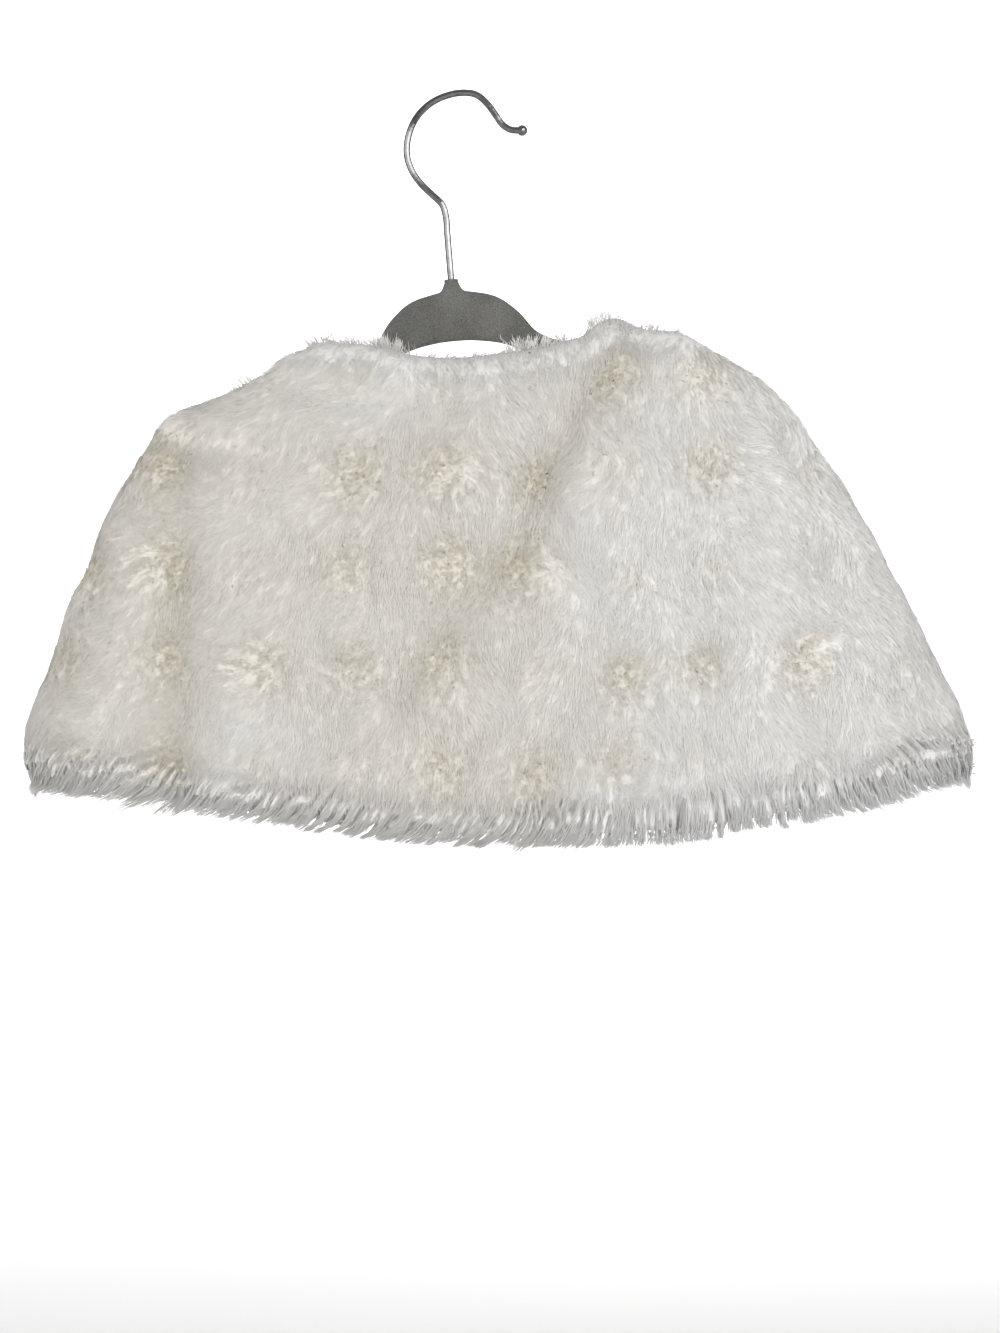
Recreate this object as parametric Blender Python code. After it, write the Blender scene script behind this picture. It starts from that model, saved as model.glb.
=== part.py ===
"""A toddler's faux-fur cape hung on a small flocked hanger, seen from its back.

Metres, +Z up. The origin is the hang point, at the inside top of the hanger's hook.
The cape's back faces -Y and its two fronts meet on the +Y side.
"""

import math
from collections import namedtuple

import bmesh
import bpy
import numpy as np
from mathutils import Vector

MM = 0.001

# Cloth: the wall reaches from the lining side of the backing to the tips of the pile
PILE_WALL = 11.0 * MM
EDGE_WALL = 2.6 * MM
SEAM_GAP = 0.3 * MM

# Outline of the hanging cape over the pile, one row from the neck (drop 0) to the hem (drop 1)
Section = namedtuple("Section", "drop left_x left_z right_x right_z back_z front_z back_y front_y")
SECTIONS = (
    Section(0.00, -79, -113, 108, -112, -121, -134, 25, 25),
    Section(0.10, -97, -128, 128, -123, -143, -155, 31, 30),
    Section(0.20, -121, -140, 147, -138, -165, -176, 37, 35),
    Section(0.27, -138, -146, 157, -150, -180, -190, 41, 38),
    Section(0.34, -147, -159, 166, -163, -195, -204, 45, 41),
    Section(0.44, -158, -178, 179, -183, -217, -224, 49, 45),
    Section(0.57, -171, -203, 194, -210, -246, -251, 53, 49),
    Section(0.70, -183, -233, 208, -237, -276, -279, 57, 53),
    Section(0.84, -195, -269, 223, -268, -307, -309, 60, 56),
    Section(0.93, -204, -296, 234, -292, -326, -327, 62, 57),
    Section(1.00, -203, -319, 238, -316, -344, -343, 61, 57),
)
MIDDLE_X = 15.0 * MM
FLATNESS = 0.35
CAPE_LENGTH = 231 * MM

# Soft folds: a depth in millimetres at each end of a route of (x, z) points, plus into the cape
Fold = namedtuple("Fold", "face depth_start depth_end width route")
BACK, FRONT = -1, 1
FACE_BLEND = 0.45
FOLDS = (
    Fold(BACK, 5.0, 9.0, 15, ((-126, -172), (-125, -240), (-129, -330))),
    Fold(BACK, 9.0, 3.0, 13, ((74, -116), (59, -136), (38, -181), (26, -207), (-5, -247), (-27, -276))),
    Fold(BACK, -6.0, -4.0, 34, ((101, -150), (62, -215), (20, -262), (-18, -305))),
    Fold(BACK, 2.0, 6.0, 13, ((86, -254), (62, -268), (43, -294), (30, -345))),
    Fold(BACK, 4.0, 3.0, 14, ((122, -160), (127, -190), (117, -218), (107, -258))),
    Fold(BACK, 3.0, 3.0, 11, ((-78, -141), (-30, -148), (7, -142), (40, -131))),
    Fold(FRONT, 4.0, 8.0, 16, ((-96, -150), (-104, -240), (-116, -345))),
    Fold(FRONT, -3.0, -5.0, 26, ((-50, -170), (-56, -260), (-60, -350))),
    Fold(FRONT, 5.0, 7.0, 15, ((104, -152), (112, -240), (134, -345))),
    Fold(FRONT, -3.0, -5.0, 28, ((60, -170), (70, -250), (84, -350))),
)

# How far the back's hem is lifted above its plain sweep, in millimetres across the cape
HemLift = namedtuple("HemLift", "x rise")
HEM_LIFT = (
    HemLift(-203, 0.0),
    HemLift(-180, 0.0),
    HemLift(-162, 3.0),
    HemLift(-143, 6.2),
    HemLift(-125, 7.2),
    HemLift(-106, 7.4),
    HemLift(-88, 6.6),
    HemLift(-70, 5.8),
    HemLift(-35, 4.4),
    HemLift(-18, 2.8),
    HemLift(0, 2.2),
    HemLift(20, 1.4),
    HemLift(52, 0.0),
    HemLift(100, -0.8),
    HemLift(130, -0.8),
    HemLift(160, 0.0),
    HemLift(180, 0.4),
    HemLift(195, 2.4),
    HemLift(213, 2.6),
    HemLift(226, 0.8),
    HemLift(238, 0.0),
)
HEM_LIFT_START = 0.6

# Height of the bunched neck edge across the back
NeckEdge = namedtuple("NeckEdge", "x z")
NECK_EDGE = (
    NeckEdge(-79, -113),
    NeckEdge(-64, -109),
    NeckEdge(-44, -112),
    NeckEdge(-22, -119),
    NeckEdge(0, -121),
    NeckEdge(18, -119),
    NeckEdge(38, -115),
    NeckEdge(47, -112),
    NeckEdge(54, -109),
    NeckEdge(60, -103),
    NeckEdge(67, -99),
    NeckEdge(75, -99),
    NeckEdge(84, -102),
    NeckEdge(97, -107),
    NeckEdge(108, -112),
)
NECK_EDGE_REACH = 0.08
NECK_BLEND = 0.5

# Dimples where the pile is tacked down, on a grid over the whole cape
DIMPLE_PITCH_X = 40.0 * MM
DIMPLE_PITCH_Z = 43.0 * MM
DIMPLE_FIRST_X = -129.0 * MM
DIMPLE_FIRST_Z = -174.5 * MM
DIMPLE_SPREAD = 8.0 * MM
DIMPLE_DEPTH = 4.0 * MM

# How finely the walls are divided: round the ring, down the cape, and near its edges
RING_STEPS = 92
RING_EVENNESS = 0.6
RING_DROP = 0.6
DROP_STEPS = 25
EDGE_ROWS = (0.0, 1.2 * MM, 4.2 * MM, 9.0 * MM)
SMALL_STEP = 1e-4
OUTLINE_STEP = 0.01

# Hanger, in its own upright frame, before it tilts about the hang point
HANGER_TILT = math.radians(4.7)
STEM_X = -12.8 * MM
HUMP_TOP_Z = -89.5 * MM
PLATE_THICKNESS = 5.6 * MM
PLATE_ROUNDING = 1.6 * MM
WIRE_RADIUS = 1.65 * MM
BALL_RADIUS = 2.6 * MM
SOCKET_DEPTH = 14.0 * MM
BOSS_HEIGHT = 5.9 * MM
BOSS_ROOT = 6.0 * MM
BOSS_TOP_RADIUS = 3.3 * MM
BOSS_ROOT_RADIUS = 2.3 * MM
CLEARANCE = 0.3 * MM

# Half of the plate's outline from the boss at the hump's middle to the arm's tip, along x and down
PLATE_MIDDLE_TOP = 5.0
PLATE_TOP = (
    (3.2, 4.4), (4.1, 2.4), (5.4, 0.7), (8.2, -0.1), (12.5, -1.0), (17.3, -2.3), (21.9, -4.5), (26.0, -7.7),
    (30.3, -11.9), (33.4, -16.1), (36.6, -20.2), (41.0, -23.3), (47.6, -26.1), (88.0, -42.3), (125.0, -55.2),
)
PLATE_TIP = ((129.4, -58.8), (129.0, -64.6), (124.0, -66.8))
PLATE_BOTTOM = ((88.0, -54.1), (48.0, -38.9), (34.0, -31.0), (23.5, -25.9), (11.0, -23.0))
PLATE_MIDDLE_BOTTOM = -22.3

# The hook's centreline from its free end, round the top and down to the stem
HOOK_ROUTE = (
    (25.4, -17.8), (19.8, -16.9), (16.6, -14.4), (13.8, -9.7), (10.2, -4.0), (5.6, 0.4), (0.1, 1.7),
    (-7.5, 1.1), (-15.5, -1.9), (-22.6, -8.0), (-26.9, -16.0), (-28.3, -25.0), (-26.4, -32.8),
    (-22.8, -38.7), (-17.8, -44.4), (-13.9, -49.0), (-12.8, -54.0), (-12.8, -62.0), (-12.8, -74.0),
)
HOOK_POINTS = 66
WIRE_ROUNDNESS = 3


def clear_scene():
    for thing in list(bpy.data.objects):
        bpy.data.objects.remove(thing, do_unlink=True)


def new_collection(name):
    collection = bpy.data.collections.new(name)
    bpy.context.scene.collection.children.link(collection)
    return collection


def make_material(name, colour, roughness, metallic=0.0):
    material = bpy.data.materials.new(name)
    material.use_nodes = True
    shader = material.node_tree.nodes["Principled BSDF"]
    shader.inputs["Base Color"].default_value = (*colour, 1.0)
    shader.inputs["Roughness"].default_value = roughness
    shader.inputs["Metallic"].default_value = metallic
    return material


def add_object(name, data, collection, material):
    thing = bpy.data.objects.new(name, data)
    collection.objects.link(thing)
    data.materials.append(material)
    return thing


def smooth_rows(rows, at):
    """Every column of rows, read at these values of its first column on a smooth curve."""
    table = np.array(rows, float)
    knots = table[:, 0]
    slopes = np.gradient(table, knots, axis=0)
    at = np.clip(at, knots[0], knots[-1])
    row = np.clip(np.searchsorted(knots, at, side="right") - 1, 0, len(knots) - 2)
    span = (knots[row + 1] - knots[row])[..., None]
    s = (at[..., None] - knots[row][..., None]) / span
    return (
        table[row] * (2 * s**3 - 3 * s**2 + 1)
        + slopes[row] * span * (s**3 - 2 * s**2 + s)
        + table[row + 1] * (3 * s**2 - 2 * s**3)
        + slopes[row + 1] * span * (s**3 - s**2)
    )


def sections_at(drop):
    columns = np.moveaxis(smooth_rows(SECTIONS, np.asarray(drop, float)), -1, 0)
    return Section(columns[0], *(columns[1:] * MM))


def inner_side(drop, side):
    """The left (-1) or right (1) outline moved in by the wall, square to itself."""
    before = sections_at(np.clip(drop - OUTLINE_STEP, 0, 1))
    here = sections_at(drop)
    after = sections_at(np.clip(drop + OUTLINE_STEP, 0, 1))
    if side < 0:
        x, z = here.left_x, here.left_z
        run, fall = after.left_x - before.left_x, after.left_z - before.left_z
    else:
        x, z = here.right_x, here.right_z
        run, fall = after.right_x - before.right_x, after.right_z - before.right_z
    length = np.hypot(run, fall)
    return x + side * fall / length * PILE_WALL, z - side * run / length * PILE_WALL


def draped_ring(angle, drop):
    """The inner face without folds. Angle 0 is the middle front, pi/2 the left side, pi the back."""
    here = sections_at(drop)
    left_x, left_z = inner_side(drop, -1)
    right_x, right_z = inner_side(drop, 1)
    across, through = np.sin(angle), np.cos(angle)
    centre = (left_x + right_x) / 2
    x = centre - (right_x - left_x) / 2 * across + (MIDDLE_X - centre) * through**2
    side_z = np.where(across > 0, left_z, right_z)
    middle_z = np.where(through > 0, here.front_z, here.back_z)
    z = side_z + (middle_z - side_z) * through**2
    depth = np.where(through > 0, here.front_y, here.back_y) - PILE_WALL
    y = depth * through * (1 + FLATNESS - FLATNESS * through**2)
    neck = sections_at(0.0)
    neck_z = smooth_rows(NECK_EDGE, x / MM)[..., 1] * MM
    plain_z = neck.back_z + (neck.left_z - neck.back_z) * across**2
    on_back = np.clip(-through / NECK_BLEND, 0, 1)
    z = z + (neck_z - plain_z) * on_back * np.exp(-((drop / NECK_EDGE_REACH) ** 2))
    rise = smooth_rows(HEM_LIFT, x / MM)[..., 1] * MM
    z = z + rise * on_back * (np.clip(drop - HEM_LIFT_START, 0, 1) / (1 - HEM_LIFT_START)) ** 2
    return np.stack([x, y, z], axis=-1)


def facing(surface, angle, drop):
    """Outward unit normals of a surface function."""
    around = surface(angle + SMALL_STEP, drop) - surface(angle - SMALL_STEP, drop)
    high = np.clip(drop - SMALL_STEP, 0, 1)
    low = np.clip(drop + SMALL_STEP, 0, 1)
    down = surface(angle, low) - surface(angle, high)
    normal = np.cross(down, around)
    return normal / np.linalg.norm(normal, axis=-1, keepdims=True)


def distance_along(points, route):
    """How far points in the x-z plane are from a route, and their share of the way along it."""
    route = np.array(route, float) * MM
    lengths = np.linalg.norm(np.diff(route, axis=0), axis=1)
    starts = np.concatenate([[0], np.cumsum(lengths)])
    nearest = np.full(points.shape[:-1], np.inf)
    share = np.zeros(points.shape[:-1])
    for a, b, length, start in zip(route[:-1], route[1:], lengths, starts):
        s = np.clip(((points - a) @ (b - a)) / length**2, 0, 1)
        away = np.linalg.norm(points - a - s[..., None] * (b - a), axis=-1)
        closer = away < nearest
        nearest = np.where(closer, away, nearest)
        share = np.where(closer, (start + s * length) / starts[-1], share)
    return nearest, share


def folded_ring(angle, drop):
    """The inner face with its folds."""
    flat = draped_ring(angle, drop)
    outward = facing(draped_ring, angle, drop)
    moved = np.zeros(flat.shape[:-1])
    for fold in FOLDS:
        away, share = distance_along(flat[..., [0, 2]], fold.route)
        depth = (fold.depth_start + (fold.depth_end - fold.depth_start) * share) * MM
        this_face = np.clip(fold.face * np.cos(angle) / FACE_BLEND, 0, 1)
        moved = moved - depth * np.exp(-((away / (fold.width * MM)) ** 2)) * this_face
    return flat + outward * moved[..., None]


def dimples(points):
    """How far the pile is pulled down at the nearest point of the tacking grid."""
    x = (points[..., 0] - DIMPLE_FIRST_X + DIMPLE_PITCH_X / 2) % DIMPLE_PITCH_X - DIMPLE_PITCH_X / 2
    z = (points[..., 2] - DIMPLE_FIRST_Z + DIMPLE_PITCH_Z / 2) % DIMPLE_PITCH_Z - DIMPLE_PITCH_Z / 2
    return DIMPLE_DEPTH * np.exp(-(x**2 + z**2) / (2 * DIMPLE_SPREAD**2))


def rounded_edge(distance):
    """The wall's height at a distance from a cut edge, which the pile rolls over."""
    s = np.clip(distance / PILE_WALL, 0, 1)
    return EDGE_WALL + (PILE_WALL - EDGE_WALL) * np.sqrt(1 - (1 - s) ** 2)


def drop_rows():
    """Drops of the mesh's rows, closer together at the neck and the hem."""
    edge = np.array(EDGE_ROWS) / CAPE_LENGTH
    middle = np.linspace(edge[-1], 1 - edge[-1], DROP_STEPS + 1)
    return np.concatenate([edge[:-1], middle, 1 - edge[-2::-1]])


def ring_angles(start, end):
    """Angles of the mesh's columns between two angles, part even by angle and part by length."""
    fine = np.linspace(0, 2 * math.pi, 2001)
    ring = draped_ring(fine, np.full_like(fine, RING_DROP))
    length = np.concatenate([[0], np.cumsum(np.linalg.norm(np.diff(ring, axis=0), axis=1))])
    even = RING_EVENNESS * length / length[-1] + (1 - RING_EVENNESS) * fine / fine[-1]
    first, last = np.interp([start, end], fine, even)
    count = round((last - first) * RING_STEPS)
    return np.interp(np.linspace(first, last, count + 1), even, fine)


def along_ring(angle, drop):
    """Unit directions along the folded ring, the way the angle grows."""
    around = folded_ring(angle + SMALL_STEP, drop) - folded_ring(angle - SMALL_STEP, drop)
    return around / np.linalg.norm(around, axis=-1, keepdims=True)


def pace(angle, drop):
    """Metres along the ring for each radian."""
    around = draped_ring(angle + SMALL_STEP, drop) - draped_ring(angle - SMALL_STEP, drop)
    return np.linalg.norm(around, axis=-1) / (2 * SMALL_STEP)


def cape_panel(name, start, end, collection, material):
    """One cut piece: a wall between two angles of the ring, half a gap short of each."""
    angle, drop = np.meshgrid(ring_angles(start, end), drop_rows())
    inner = folded_ring(angle, drop)
    outward = facing(folded_ring, angle, drop)
    height = rounded_edge(np.minimum(drop, 1 - drop) * CAPE_LENGTH)
    for middle_front in (0.0, 2 * math.pi):
        height = np.minimum(height, rounded_edge(np.abs(angle - middle_front) * pace(angle, drop)))
    pile = (height - EDGE_WALL) / (PILE_WALL - EDGE_WALL)
    outer = inner + outward * (height - dimples(inner) * pile)[..., None]
    for column, sign in ((0, 1), (-1, -1)):
        away = along_ring(angle[:, column], drop[:, column]) * sign * SEAM_GAP / 2
        inner[:, column] += away
        outer[:, column] += away
    rows, columns = angle.shape

    def index(layer, row, column):
        return (layer * rows + row) * columns + column

    faces = []
    for row in range(rows - 1):
        for column in range(columns - 1):
            quad = [(row, column), (row, column + 1), (row + 1, column + 1), (row + 1, column)]
            faces.append([index(0, *corner) for corner in quad])
            faces.append([index(1, *corner) for corner in reversed(quad)])
    border = (
        [(0, c) for c in range(columns - 1)]
        + [(r, columns - 1) for r in range(rows - 1)]
        + [(rows - 1, c) for c in range(columns - 1, 0, -1)]
        + [(r, 0) for r in range(rows - 1, 0, -1)]
    )
    for here, after in zip(border, border[1:] + border[:1]):
        low, high = (here, after) if here[0] <= after[0] else (after, here)
        faces.append([index(0, *low), index(0, *high), index(1, *high)])
        faces.append([index(0, *low), index(1, *high), index(1, *low)])
    mesh = bpy.data.meshes.new(name)
    mesh.from_pydata(np.concatenate([inner.reshape(-1, 3), outer.reshape(-1, 3)]).tolist(), [], faces)
    shape = bmesh.new()
    shape.from_mesh(mesh)
    bmesh.ops.recalc_face_normals(shape, faces=shape.faces)
    shape.to_mesh(mesh)
    shape.free()
    panel = add_object(name, mesh, collection, material)
    mesh.shade_smooth()
    return panel


def smooth_route(route, count):
    """Points spaced evenly along a smooth curve through (x, z) points, in metres."""
    points = np.array(route, float) * MM
    length = np.concatenate([[0], np.cumsum(np.linalg.norm(np.diff(points, axis=0), axis=1))])
    return smooth_rows(np.column_stack([length, points]), np.linspace(0, length[-1], count))[:, 1:]


def wire(name, points, radius, collection, material):
    """A round wire along points, as a curve object."""
    curve = bpy.data.curves.new(name, "CURVE")
    curve.dimensions = "3D"
    curve.bevel_depth = radius
    curve.bevel_resolution = WIRE_ROUNDNESS
    curve.use_fill_caps = True
    spline = curve.splines.new("POLY")
    spline.points.add(len(points) - 1)
    for knot, point in zip(spline.points, points):
        knot.co = (*point, 1.0)
    return add_object(name, curve, collection, material)


def to_mesh(thing):
    """Replaces a curve object by its welded mesh, so that it can be cut or joined."""
    graph = bpy.context.evaluated_depsgraph_get()
    mesh = bpy.data.meshes.new_from_object(thing.evaluated_get(graph))
    shape = bmesh.new()
    shape.from_mesh(mesh)
    bmesh.ops.remove_doubles(shape, verts=shape.verts, dist=1e-6)
    shape.to_mesh(mesh)
    shape.free()
    name, collection = thing.name, thing.users_collection[0]
    solid = bpy.data.objects.new(name + "_solid", mesh)
    collection.objects.link(solid)
    solid.parent = thing.parent
    solid.matrix_world = thing.matrix_world.copy()
    bpy.data.objects.remove(thing, do_unlink=True)
    solid.name = name
    return solid


def primitive(name, make, collection, material, **sizes):
    """An object from one of bmesh's primitives."""
    shape = bmesh.new()
    make(shape, **sizes)
    mesh = bpy.data.meshes.new(name)
    shape.to_mesh(mesh)
    shape.free()
    return add_object(name, mesh, collection, material)


def boolean(target, tool, operation):
    modifier = target.modifiers.new(tool.name, "BOOLEAN")
    modifier.operation = operation
    modifier.object = tool


def helper(thing, parent, location):
    """Hides a piece that only cuts or joins another, and puts it in place."""
    thing.parent = parent
    thing.location = location
    thing.hide_render = True
    thing.display_type = "WIRE"
    return thing


def hanger_plate(parent, collection, cutters, material):
    """The flocked plate: hump, two sloping arms, and the boss that the hook turns in."""
    half = [*PLATE_TOP, *PLATE_TIP, *PLATE_BOTTOM]
    outline = [(0.0, PLATE_MIDDLE_TOP), *half, (0.0, PLATE_MIDDLE_BOTTOM)]
    outline += [(-x, z) for x, z in reversed(half)]
    curve = bpy.data.curves.new("hanger_plate", "CURVE")
    curve.dimensions = "2D"
    curve.fill_mode = "BOTH"
    curve.extrude = PLATE_THICKNESS / 2 - PLATE_ROUNDING
    curve.bevel_depth = PLATE_ROUNDING
    curve.bevel_resolution = 1
    curve.offset = -PLATE_ROUNDING
    curve.resolution_u = 3
    spline = curve.splines.new("BEZIER")
    spline.bezier_points.add(len(outline) - 1)
    for knot, (x, z) in zip(spline.bezier_points, outline):
        knot.co = (x * MM, z * MM, 0)
        knot.handle_left_type = knot.handle_right_type = "AUTO"
    spline.use_cyclic_u = True
    plate = add_object("hanger_plate", curve, collection, material)
    plate.parent = parent
    plate.location = (STEM_X, 0, HUMP_TOP_Z)
    plate.rotation_euler = (math.pi / 2, 0, 0)
    bpy.context.view_layer.update()
    plate = to_mesh(plate)

    boss = primitive(
        "hanger_boss", bmesh.ops.create_cone, cutters, material, cap_ends=True, segments=20,
        radius1=BOSS_ROOT_RADIUS, radius2=BOSS_TOP_RADIUS, depth=BOSS_HEIGHT + BOSS_ROOT,
    )
    helper(boss, parent, (STEM_X, 0, HUMP_TOP_Z + (BOSS_HEIGHT - BOSS_ROOT) / 2))
    socket = primitive(
        "hook_socket", bmesh.ops.create_cone, cutters, material, cap_ends=True, segments=20,
        radius1=WIRE_RADIUS + CLEARANCE, radius2=WIRE_RADIUS + CLEARANCE, depth=SOCKET_DEPTH,
    )
    helper(socket, parent, (STEM_X, 0, HUMP_TOP_Z + BOSS_HEIGHT + CLEARANCE - SOCKET_DEPTH / 2))
    boolean(plate, boss, "UNION")
    boolean(plate, socket, "DIFFERENCE")
    return plate


def hanger_hook(parent, collection, cutters, material):
    """The bright wire hook with its ball end, its stem standing in the boss."""
    route = [(x, 0.0, z) for x, z in smooth_route(HOOK_ROUTE, HOOK_POINTS)]
    stem_end = HUMP_TOP_Z + BOSS_HEIGHT - SOCKET_DEPTH + 2 * CLEARANCE
    route.append((STEM_X, 0.0, stem_end))
    hook = wire("hanger_hook", route, WIRE_RADIUS, collection, material)
    hook.parent = parent
    bpy.context.view_layer.update()
    hook = to_mesh(hook)
    ball = primitive(
        "hook_ball", bmesh.ops.create_uvsphere, cutters, material,
        u_segments=14, v_segments=9, radius=BALL_RADIUS,
    )
    helper(ball, parent, route[0])
    boolean(hook, ball, "UNION")
    return hook


def main():
    clear_scene()
    parts = new_collection("fur_cape_on_hanger")
    cutters = new_collection("cutters")
    fur = make_material("white_fur", (0.80, 0.79, 0.76), 0.9)
    flock = make_material("grey_flock", (0.15, 0.15, 0.145), 0.95)
    chrome = make_material("chrome", (0.72, 0.72, 0.73), 0.12, 1.0)

    quarter = math.pi / 2
    cape_panel("back", quarter, 3 * quarter, parts, fur)
    cape_panel("front_left", 0.0, quarter, parts, fur)
    cape_panel("front_right", 3 * quarter, 4 * quarter, parts, fur)

    hang_point = bpy.data.objects.new("hang_point", None)
    parts.objects.link(hang_point)
    hang_point.rotation_euler = (0, -HANGER_TILT, 0)
    hanger_plate(hang_point, parts, cutters, flock)
    hanger_hook(hang_point, parts, cutters, chrome)


main()
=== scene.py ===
"""The looks of a white faux-fur cape on a grey flocked hanger, seen from its back."""

import math
from collections import namedtuple

import bpy
import numpy as np
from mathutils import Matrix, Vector

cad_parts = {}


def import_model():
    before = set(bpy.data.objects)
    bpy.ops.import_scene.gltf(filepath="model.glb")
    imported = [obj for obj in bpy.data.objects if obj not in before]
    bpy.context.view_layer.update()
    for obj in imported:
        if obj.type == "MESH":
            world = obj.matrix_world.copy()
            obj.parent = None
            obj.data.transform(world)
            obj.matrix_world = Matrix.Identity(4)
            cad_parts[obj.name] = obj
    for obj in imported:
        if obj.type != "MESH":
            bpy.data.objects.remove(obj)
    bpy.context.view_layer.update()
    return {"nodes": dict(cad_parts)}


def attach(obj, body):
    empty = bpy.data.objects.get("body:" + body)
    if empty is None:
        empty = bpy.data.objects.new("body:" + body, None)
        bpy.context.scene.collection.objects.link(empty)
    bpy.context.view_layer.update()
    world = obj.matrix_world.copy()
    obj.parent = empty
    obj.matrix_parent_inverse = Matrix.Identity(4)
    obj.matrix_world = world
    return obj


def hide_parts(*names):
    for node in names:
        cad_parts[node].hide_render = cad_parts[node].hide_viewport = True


MM = 0.001

# Cloth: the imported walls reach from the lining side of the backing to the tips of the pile
PILE_WALL = 11.0 * MM
EDGE_WALL = 2.6 * MM
SEAM_GAP = 0.3 * MM
BACKING = 1.8 * MM

# Outline of the hanging cape over the pile, one row from the neck (drop 0) to the hem (drop 1)
Section = namedtuple("Section", "drop left_x left_z right_x right_z back_z front_z back_y front_y")
SECTIONS = (
    Section(0.00, -79, -113, 108, -112, -121, -134, 25, 25),
    Section(0.10, -97, -128, 128, -123, -143, -155, 31, 30),
    Section(0.20, -121, -140, 147, -138, -165, -176, 37, 35),
    Section(0.27, -138, -146, 157, -150, -180, -190, 41, 38),
    Section(0.34, -147, -159, 166, -163, -195, -204, 45, 41),
    Section(0.44, -158, -178, 179, -183, -217, -224, 49, 45),
    Section(0.57, -171, -203, 194, -210, -246, -251, 53, 49),
    Section(0.70, -183, -233, 208, -237, -276, -279, 57, 53),
    Section(0.84, -195, -269, 223, -268, -307, -309, 60, 56),
    Section(0.93, -204, -296, 234, -292, -326, -327, 62, 57),
    Section(1.00, -203, -319, 238, -316, -344, -343, 61, 57),
)
MIDDLE_X = 15.0 * MM
FLATNESS = 0.35
CAPE_LENGTH = 231 * MM

# Soft folds: a depth in millimetres at each end of a route of (x, z) points, plus into the cape
Fold = namedtuple("Fold", "face depth_start depth_end width route")
BACK, FRONT = -1, 1
FACE_BLEND = 0.45
FOLDS = (
    Fold(BACK, 5.0, 9.0, 15, ((-126, -172), (-125, -240), (-129, -330))),
    Fold(BACK, 9.0, 3.0, 13, ((74, -116), (59, -136), (38, -181), (26, -207), (-5, -247), (-27, -276))),
    Fold(BACK, -6.0, -4.0, 34, ((101, -150), (62, -215), (20, -262), (-18, -305))),
    Fold(BACK, 2.0, 6.0, 13, ((86, -254), (62, -268), (43, -294), (30, -345))),
    Fold(BACK, 4.0, 3.0, 14, ((122, -160), (127, -190), (117, -218), (107, -258))),
    Fold(BACK, 3.0, 3.0, 11, ((-78, -141), (-30, -148), (7, -142), (40, -131))),
    Fold(FRONT, 4.0, 8.0, 16, ((-96, -150), (-104, -240), (-116, -345))),
    Fold(FRONT, -3.0, -5.0, 26, ((-50, -170), (-56, -260), (-60, -350))),
    Fold(FRONT, 5.0, 7.0, 15, ((104, -152), (112, -240), (134, -345))),
    Fold(FRONT, -3.0, -5.0, 28, ((60, -170), (70, -250), (84, -350))),
)

# How far the back's hem is lifted above its plain sweep, in millimetres across the cape
HemLift = namedtuple("HemLift", "x rise")
HEM_LIFT = [HemLift(*row) for row in (
    (-203, 0.0), (-180, 0.0), (-162, 3.0), (-143, 6.2), (-125, 7.2), (-106, 7.4), (-88, 6.6), (-70, 5.8),
    (-35, 4.4), (-18, 2.8), (0, 2.2), (20, 1.4), (52, 0.0), (100, -0.8), (130, -0.8), (160, 0.0),
    (180, 0.4), (195, 2.4), (213, 2.6), (226, 0.8), (238, 0.0),
)]
HEM_LIFT_START = 0.6

# Height of the bunched neck edge across the back
NeckEdge = namedtuple("NeckEdge", "x z")
NECK_EDGE = [NeckEdge(*row) for row in (
    (-79, -113), (-64, -109), (-44, -112), (-22, -119), (0, -121), (18, -119), (38, -115), (47, -112),
    (54, -109), (60, -103), (67, -99), (75, -99), (84, -102), (97, -107), (108, -112),
)]
NECK_EDGE_REACH = 0.08
NECK_BLEND = 0.5
SMALL_STEP = 1e-4
OUTLINE_STEP = 0.01

# Tacked-down tufts, on a grid over the whole cape, and how far each is off it in millimetres
DIMPLE_PITCH_X = 40.0 * MM
DIMPLE_PITCH_Z = 43.0 * MM
DIMPLE_FIRST_X = -129.0 * MM
DIMPLE_FIRST_Z = -174.5 * MM
DIMPLE_SPREAD = 8.0 * MM
DIMPLE_DEPTH = 4.0 * MM
DIMPLE_SHARE = 0.6
TUFT_JITTER = 2.2
TUFT_ROWS = range(-1, 4)
TUFT_COLUMNS = range(-2, 10)
GUESSED_STRENGTHS = (0.2, 0.9)

# The knitted backing and the dense underfur on it end short of the reach of the pile
BACKING_TOP = 0.015
BACKING_END = 0.93
UNDERFUR_TOP = 0.005
UNDERFUR_END = 0.985
UNDERFUR_SHARE = 0.80
UNDERFUR_GAP = 0.15 * MM
UNDERFUR_SEAM = 0.06 * MM
UNDERFUR_LEAST = 0.4 * MM
UNDERFUR_ALONG = 0.75
UNDERFUR_LOT = 0.5
UNDERFUR_STRIDE = 2
COARSE = 4
BACKING_PITCH = 7 * MM
BACKING_ROWS = 31

# How strong each tacked-down tuft of the back is, by rows from the top and columns from the left
TUFT_STRENGTHS = (
    (0.2, 0.2, 0.3, 0.2, 0.2, 0.8, 0.6, 0.2, 0.2),
    (1.0, 0.3, 1.0, 0.9, 0.9, 0.2, 0.7, 0.3, 0.2),
    (0.9, 0.3, 0.7, 1.0, 0.9, 0.3, 0.3, 0.2, 0.2),
    (0.8, 0.8, 0.8, 0.7, 0.2, 0.9, 0.7, 0.8, 0.2),
    (0.9, 0.2, 0.3, 0.8, 0.8, 0.6, 0.2, 0.2, 0.2),
)

# How far cream spreads round the tufts and along the deep folds, in millimetres, and how strong: matted,
# yellower pile at the tufts, and painted shade round them and in the folds
MATTED_SPREAD = 15 * MM
FOLD_PAINTED_SHADE_SPREAD = 13
MATTED_AND_PAINTED_SHADE_SHARE = 0.22
MATTED_TUFT = 0.65

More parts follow.
